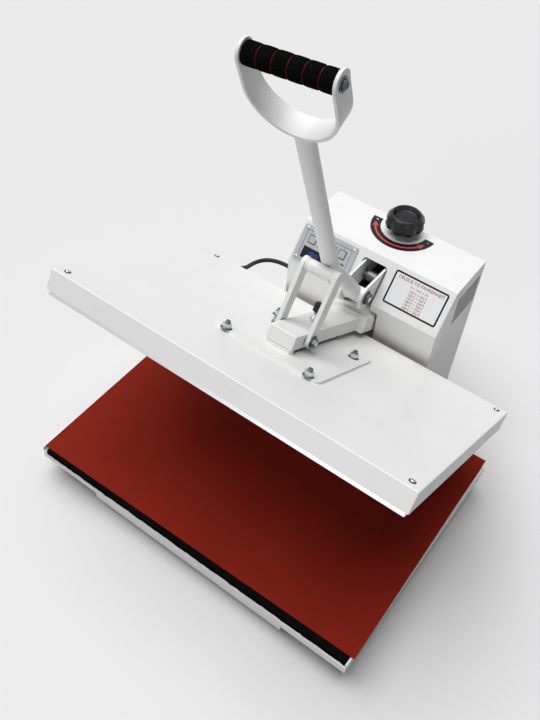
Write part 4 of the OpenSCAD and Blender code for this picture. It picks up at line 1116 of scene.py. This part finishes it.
class PRESS_OT_heater_lead(PressStep, bpy.types.Operator):
    """Run the heater lead from the box to the platen"""

    bl_idname = "press.heater_lead"
    bl_label = "Heater lead"

    def build(self, sizes):
        width = sizes.lead_diameter
        x, y, z = PLATEN_GLAND
        nose = OPENED @ Vector((x, y + GLAND_L, z))
        ahead = OPENED.to_3x3() @ Vector((0, 1, 0))
        route = [Vector(p) * MM for p in LEAD_POINTS] + [(nose + 14 * ahead) * MM, nose * MM]
        curve = having(
            bpy.data.curves.new("heater_lead_line", "CURVE"), dimensions="3D", resolution_u=8,
            bevel_depth=width / 2, bevel_resolution=6, use_fill_caps=True,
        )
        points = curve.splines.new("BEZIER").bezier_points
        points.add(len(route) - 1)
        for point, place in zip(points, route):
            having(point, co=place, handle_left_type="AUTO", handle_right_type="AUTO")
        bm = shape_of(curve, 1e-6)
        face_out(bm)
        line = []
        for a, b in zip(points, list(points)[1:]):
            line += geometry.interpolate_bezier(a.co, a.handle_right, b.handle_left, b.co, 9)[:-1]
        line.append(points[-1].co.copy())
        reach = sum((b - a).length for a, b in zip(line, line[1:]))
        scaled(bm, 1 / MM)
        lead = settle(bm, "heater_lead_sheath", None, "black_rubber", "heater_lead", weighted=False)
        tuple(line[0])
        [tuple(p) for p in line]
        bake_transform(lead)


class PRESS_OT_base(PressStep, bpy.types.Operator):
    """Round the base tubes and set its rubber feet"""

    bl_idname = "press.base"
    bl_label = "Base and feet"

    def build(self, sizes):
        rounded("base_frame", sizes.tube_round / MM)
        low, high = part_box("rubber_feet")
        h = high.z / MM
        r = 15.0
        hollow = [(0, 0), (3.5, 0), (4.5, 2.5), (9, 2.5), (10, 0)]
        profile = hollow + [(r, 0), (r - 0.6, 3), (r - 4, h), (0, h)]
        places = ((high.x / MM - r, low.y / MM + r), (REAR_FOOT_X, high.y / MM - r))
        feet = [turned(profile, shift(side * x, y, 0), 0.5, 36) for side in SIDES for x, y in places]
        settle(feet, "bench_feet", "frame", "black_rubber", "rubber_feet")


class PRESS_OT_table(PressStep, bpy.types.Operator):
    """Lay the tray, the foam pad and the silicone mat"""

    bl_idname = "press.table"
    bl_label = "Table, foam and mat"

    def build(self, sizes):
        rounded("lower_tray", sizes.sheet_round / MM)
        foam_slab(sizes.foam_ragged / MM)
        mat_sheet()


class PRESS_OT_platen(PressStep, bpy.types.Operator):
    """Round the platen's cover, plates, screws and nuts"""

    bl_idname = "press.platen"
    bl_label = "Platen"

    def build(self, sizes):
        rounded("platen_cover", sizes.sheet_round / MM)
        rounded("heating_plate", sizes.small_round / MM)
        blanket()
        mount = plate(*MOUNT, 1.0, OPENED @ shift(0, PLATEN_Y + MOUNT_Y, COVER_TOP))
        settle(mount, "mounting_plate", "platen", "white_paint", "mount_plate")
        screws = []
        nuts = []
        studs = []
        screw_x = COVER_HALF_W - COVER_SCREW_IN
        screw_y = COVER_HALF_D - COVER_SCREW_IN
        for sx, sy in CORNERS:
            seat = OPENED @ shift(sx * screw_x, PLATEN_Y + sy * screw_y, COVER_TOP)
            ring = turned([(3.2, 0), (5, 0), (5, 1.0), (4.3, 1.3), (3.2, 1.3)], seat, 0.25, 32)
            screws += [cross_screw(seat, 3.7, 2.2), marked(ring)]
            seat = OPENED @ shift(sx * STUD_X, PLATEN_Y + STUD_Y + sy * STUD_HALF_DY, MOUNT_TOP)
            seat = seat @ spun(0.35 * sx + 0.6 * sy, "Z")
            flange = turned([(4.1, 0), (8.8, 0), (8.8, 0.9), (7.0, 2.4), (4.1, 2.4)], seat, 0.3)
            nuts += [marked(flange), hex_head(NUT_ACROSS, 8.0, seat, 0.7)]
            studs.append(threaded(STUD_R, 7.9, 12.0, STUD_PITCH, seat))
        settle(screws, "cover_screw_heads", "platen", "zinc", "cover_screws", second="black_ink",
               slot="dark_steel")
        settle(nuts, "flange_nuts_hex", "platen", "zinc", "flange_nuts", second="dark_steel")
        settle(studs, "stud_tips", "platen", "dull_zinc_and_shade", "platen_studs", slot="zinc")


class PRESS_OT_arm(PressStep, bpy.types.Operator):
    """Round the arm and set its toe and handle stop"""

    bl_idname = "press.arm"
    bl_label = "Arm and stop"

    def build(self, sizes):
        rounded("arm", sizes.arm_round / MM, broad(950, 40))
        w, d, h = TOE
        toe = raised(rounded_face(w, d, TOE_R, corners=2), h)
        moved(toe, OPENED @ shift(0, TOE_Y, MOUNT_TOP - 0.05))
        settle(toe, "arm_toe", "platen", "white_paint")
        seat = OPENED @ shift(0, STOP_Y, ARM_TOP)
        stud = threaded(STUD_R, -10.0, STOP_H - 7.0, STUD_PITCH, seat)
        nut = hex_head(NUT_ACROSS, 6.0, seat)
        settle([stud, nut], "stop_stud_threaded", "platen", "zinc", "stop_stud")
        low = STOP_H - 15.0
        r = 7.5
        cap = turned([(0, low), (r, low), (r, STOP_H - 3), (r - 2, STOP_H), (0, STOP_H)], seat, 0.8)
        settle(cap, "stop_bumper_cap", "platen", "black_rubber", "stop_bumper")


class PRESS_OT_linkage(PressStep, bpy.types.Operator):
    """Round the links, ears and their bolts"""

    bl_idname = "press.linkage"
    bl_label = "Links and ears"

    def build(self, sizes):
        small = sizes.small_round / MM
        for node, x in (("link_left", -LINK_X), ("link_right", LINK_X)):
            away = [((x + dx, LINK_LOW.y, LINK_LOW.z), 8.0) for dx in (-3.5, 3.5)]
            rounded(node, small, broad(1500, 50, max, away))
        ears = [((x, EAR.y, EAR.z), 9.0) for x in (-21, -17, 17, 21)]
        rounded("pressure_bracket", small, broad(2500, 50, max, ears))
        bolt = OPENED @ shift(*LINK_BOLT)
        seat = 33.2
        parts = [turned(disc(5, -seat, seat), bolt @ ALONG_X)]
        rings = []
        for out in both_ways(bolt):
            parts += bolt_end(out, seat, 13, 5.2, 0.9, 4, 0.9, 0.25)
            rings.append(turned(disc(10, seat - 1.6, seat, 5.1), out, 0.35))
            rings.append(turned(disc(10, 23, 24, 5.1), out, 0.2))
        settle(parts, "link_bolt_hex", "platen", "dull_zinc_and_shade", "link_bolt", second="zinc", slot="zinc")
        settle(rings, "link_washer_rings", "platen", "dark_steel", "link_washers", slot="zinc")
        pin = shift(*EAR)
        seat = 21
        washer_t = 1.5
        parts = [turned(disc(6, -seat, seat), pin @ ALONG_X)]
        for out in both_ways(pin):
            parts.append(turned(disc(12, seat, seat + washer_t), out, 0.35))
            parts += bolt_end(out, seat + washer_t, 18, 5, 1.0, 5, 1.1, 0.3)
        settle(parts, "lever_bolt_hex", "bracket", "dark_steel", "lever_bolt", second="zinc")


class PRESS_OT_handle(PressStep, bpy.types.Operator):
    """Bend the lever tube and dress the handle's strap and grip"""

    bl_idname = "press.handle"
    bl_label = "Lever and handle"

    def build(self, sizes):
        lever()
        crossbar()
        inner = STRAP_HALF - STRAP_T
        holes = [(HANDLE @ Vector((x, 0, 0)), 8.0) for x in (-STRAP_HALF, -inner, inner, STRAP_HALF)]
        rounded("handle_strap", 1.1, broad(600, 40, max, holes))
        grip()


class PRESS_OT_control_box(PressStep, bpy.types.Operator):
    """Round the control box and dress its back panel"""

    bl_idname = "press.control_box"
    bl_label = "Control box"

    def build(self, sizes):
        # Faces that look toward this point inside get painted shade
        inside = (0, 235, 170)
        rounded("control_box", sizes.sheet_round / MM, middle=inside)
        rounded("back_panel", 0.5, broad(300, 60), middle=inside)
        heads = [
            cross_screw(shift(side * BACK_SCREW_X, BOX_BACK, z) @ REARWARD, 4.0, 2.4)
            for side in SIDES for z in BACK_SCREW_Z
        ]
        heads += [
            cross_screw(FACE @ shift(sx * FACE_SCREW_X, sy * FACE_SCREW_Y, FACE_T), 3.0, 1.2)
            for sx, sy in CORNERS
        ]
        settle(heads, "box_screw_heads", "frame", "zinc", "box_screws", second="black_ink")
        rounded("switch_body", 0.6, broad(20, 60))
        rounded("switch_rocker", 0.5, broad(20, 60))
        x, y, z = MAINS_GLAND
        lip = [(4.1, 4.0), (4.1, 5.2), (6.2, 5.2), (6.8, 4.6), (6.8, 4.0)]
        settle(turned(lip, shift(x, y, z) @ REARWARD, 0.25), "mains_gland_lip", "frame", "black_plastic")
        ends = [((x, y + d, z), 6.5) for d in (-12, 5)]
        rounded("mains_gland", 0.7, broad(60, 50, max, ends))
        gland("box_gland", shift(*BOX_GLAND) @ spun(-TURN / 4, "Y"), 8.0, "frame")
        gland("platen_gland", OPENED @ shift(*PLATEN_GLAND) @ REARWARD, 6.0, "platen")


class PRESS_OT_controller(PressStep, bpy.types.Operator):
    """Dress the controller with its bezel, buttons and lit display"""

    bl_idname = "press.controller"
    bl_label = "Controller"

    def build(self, sizes):
        rounded("controller_face", 1.2, bezel_rim)
        rounded("display_window", 0.25, broad(10, 60))
        for i in range(1, 5):
            rounded(f"button_{i}", 1.1, broad(20, 60), segments=4)
            seat = FACE @ shift((i - 2.5) * KEY_PITCH, KEY_Y, FACE_T + KEY_OUT - 0.06)
            dish = plate(8.4, 8.4, 0.12, 1.4, 0.08, seat)
            settle(dish, f"button_pad_{i}", f"key_{i}", "button_grey", slot="grey_plastic")
        frame_line()
        digits()


class PRESS_OT_labels(PressStep, bpy.types.Operator):
    """Place the conversion chart, the turning arrow and the bare side plate"""

    bl_idname = "press.labels"
    bl_label = "Stickers"

    def build(self, sizes):
        chart(sizes.border_width / MM)
        turning_arrow()
        seat = shift(*SIDE_PLATE_AT) @ ALONG_X @ spun(TURN / 4, "Z")
        bare = plate(*SIDE_PLATE, 0.1, seat)
        settle(bare, "side_plate", "frame", "plate_grey", slot="grey_plastic")


class PRESS_OT_pressure_knob(PressStep, bpy.types.Operator):
    """Shape the lobed pressure knob and its collar"""

    bl_idname = "press.pressure_knob"
    bl_label = "Pressure knob"

    def build(self, sizes):
        r = KNOB_R
        h = KNOB_H
        bm = turned(
            [(0, 0), (r - 10, 0), (r - 2.5, 6), (r, 13), (r - 2, h - 8), (r - 7, h - 2), (r - 9.5, h),
             (r - 11.5, h), (r - 16, h - 7), (r - 19, h - 7.4), (r - 19.6, h - 6.3), (0, h - 6)],
            rounding=1.6, steps=160, corners=4,
        )
        lobes = 8
        step = TURN / lobes
        core_r = 22
        dent_depth = 4.2
        dent_w = 5.6
        for v in bm.verts:
            radius = math.hypot(v.co.x, v.co.y)
            if radius < core_r:
                continue
            off = (math.atan2(v.co.y, v.co.x) / step - 0.5) % 1.0
            off = min(off, 1.0 - off) * step
            dent = dent_depth * math.exp(-((off * r) / dent_w) ** 2)
            weight = min(1.0, (radius - core_r) / 8.0) * min(1.0, max(0.0, (h - 1 - v.co.z) / 9.0))
            shrink = (radius - dent * weight) / radius
            v.co.x *= shrink
            v.co.y *= shrink
        moved(bm, shift(0, SCREW_Y, KNOB_LOW))
        settle(bm, "lobed_knob", "knob", "black_plastic", "pressure_knob", smooth=50.0)
        collar = turned(disc(17.6, 0, 4, 8.05), shift(0, SCREW_Y, BOX_TOP + 3.5), 0.6, 48)
        settle(collar, "knob_collar_ring", "knob", "zinc", "knob_collar")


class PRESS_OT_remaining(PressStep, bpy.types.Operator):
    """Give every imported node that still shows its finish"""

    bl_idname = "press.remaining"
    bl_label = "Remaining nodes"

    def build(self, sizes):
        for node, slot in NODE_SLOT.items():
            packed = frame["nodes"][node]
            if packed.hide_render:
                continue
            for material_slot in packed.material_slots:
                # Pieces deep inside the box take the painted shade finish in place of their slot's
                material_slot.material = FINISHES[PAINTED_SHADE_FINISH.get(node, slot)]


class PRESS_PT_panel(bpy.types.Panel):
    """Lists the press's pieces, sizes and colours"""

    bl_idname = "PRESS_PT_panel"
    bl_label = "Heat press"
    bl_space_type = "VIEW_3D"
    bl_region_type = "UI"
    bl_category = "Heat press"

    def draw(self, context):
        column = self.layout.column()
        for operator in OPERATORS:
            column.operator(operator.bl_idname)
        for group in (context.scene.press_sizes, context.scene.press_colours):
            for name in group.__annotations__:
                column.prop(group, name)


OPERATORS = (
    PRESS_OT_stage, PRESS_OT_heater_lead, PRESS_OT_base, PRESS_OT_table, PRESS_OT_platen, PRESS_OT_arm,
    PRESS_OT_linkage, PRESS_OT_handle, PRESS_OT_control_box, PRESS_OT_controller, PRESS_OT_labels,
    PRESS_OT_pressure_knob, PRESS_OT_remaining,
)
CLASSES = (PressSizes, PressColours, *OPERATORS, PRESS_PT_panel)


def register():
    for cls in CLASSES:
        bpy.utils.register_class(cls)
    bpy.types.Scene.press_sizes = PointerProperty(type=PressSizes)
    bpy.types.Scene.press_colours = PointerProperty(type=PressColours)


def unregister():
    del bpy.types.Scene.press_colours
    del bpy.types.Scene.press_sizes
    for cls in reversed(CLASSES):
        bpy.utils.unregister_class(cls)


def main():
    register()
    bpy.ops.press.stage()
    bpy.ops.press.heater_lead()
    bpy.ops.press.base()
    bpy.ops.press.table()
    bpy.ops.press.platen()
    bpy.ops.press.arm()
    bpy.ops.press.linkage()
    bpy.ops.press.handle()
    bpy.ops.press.control_box()
    bpy.ops.press.controller()
    bpy.ops.press.labels()
    bpy.ops.press.pressure_knob()
    bpy.ops.press.remaining()


if __name__ == "__main__":
    main()
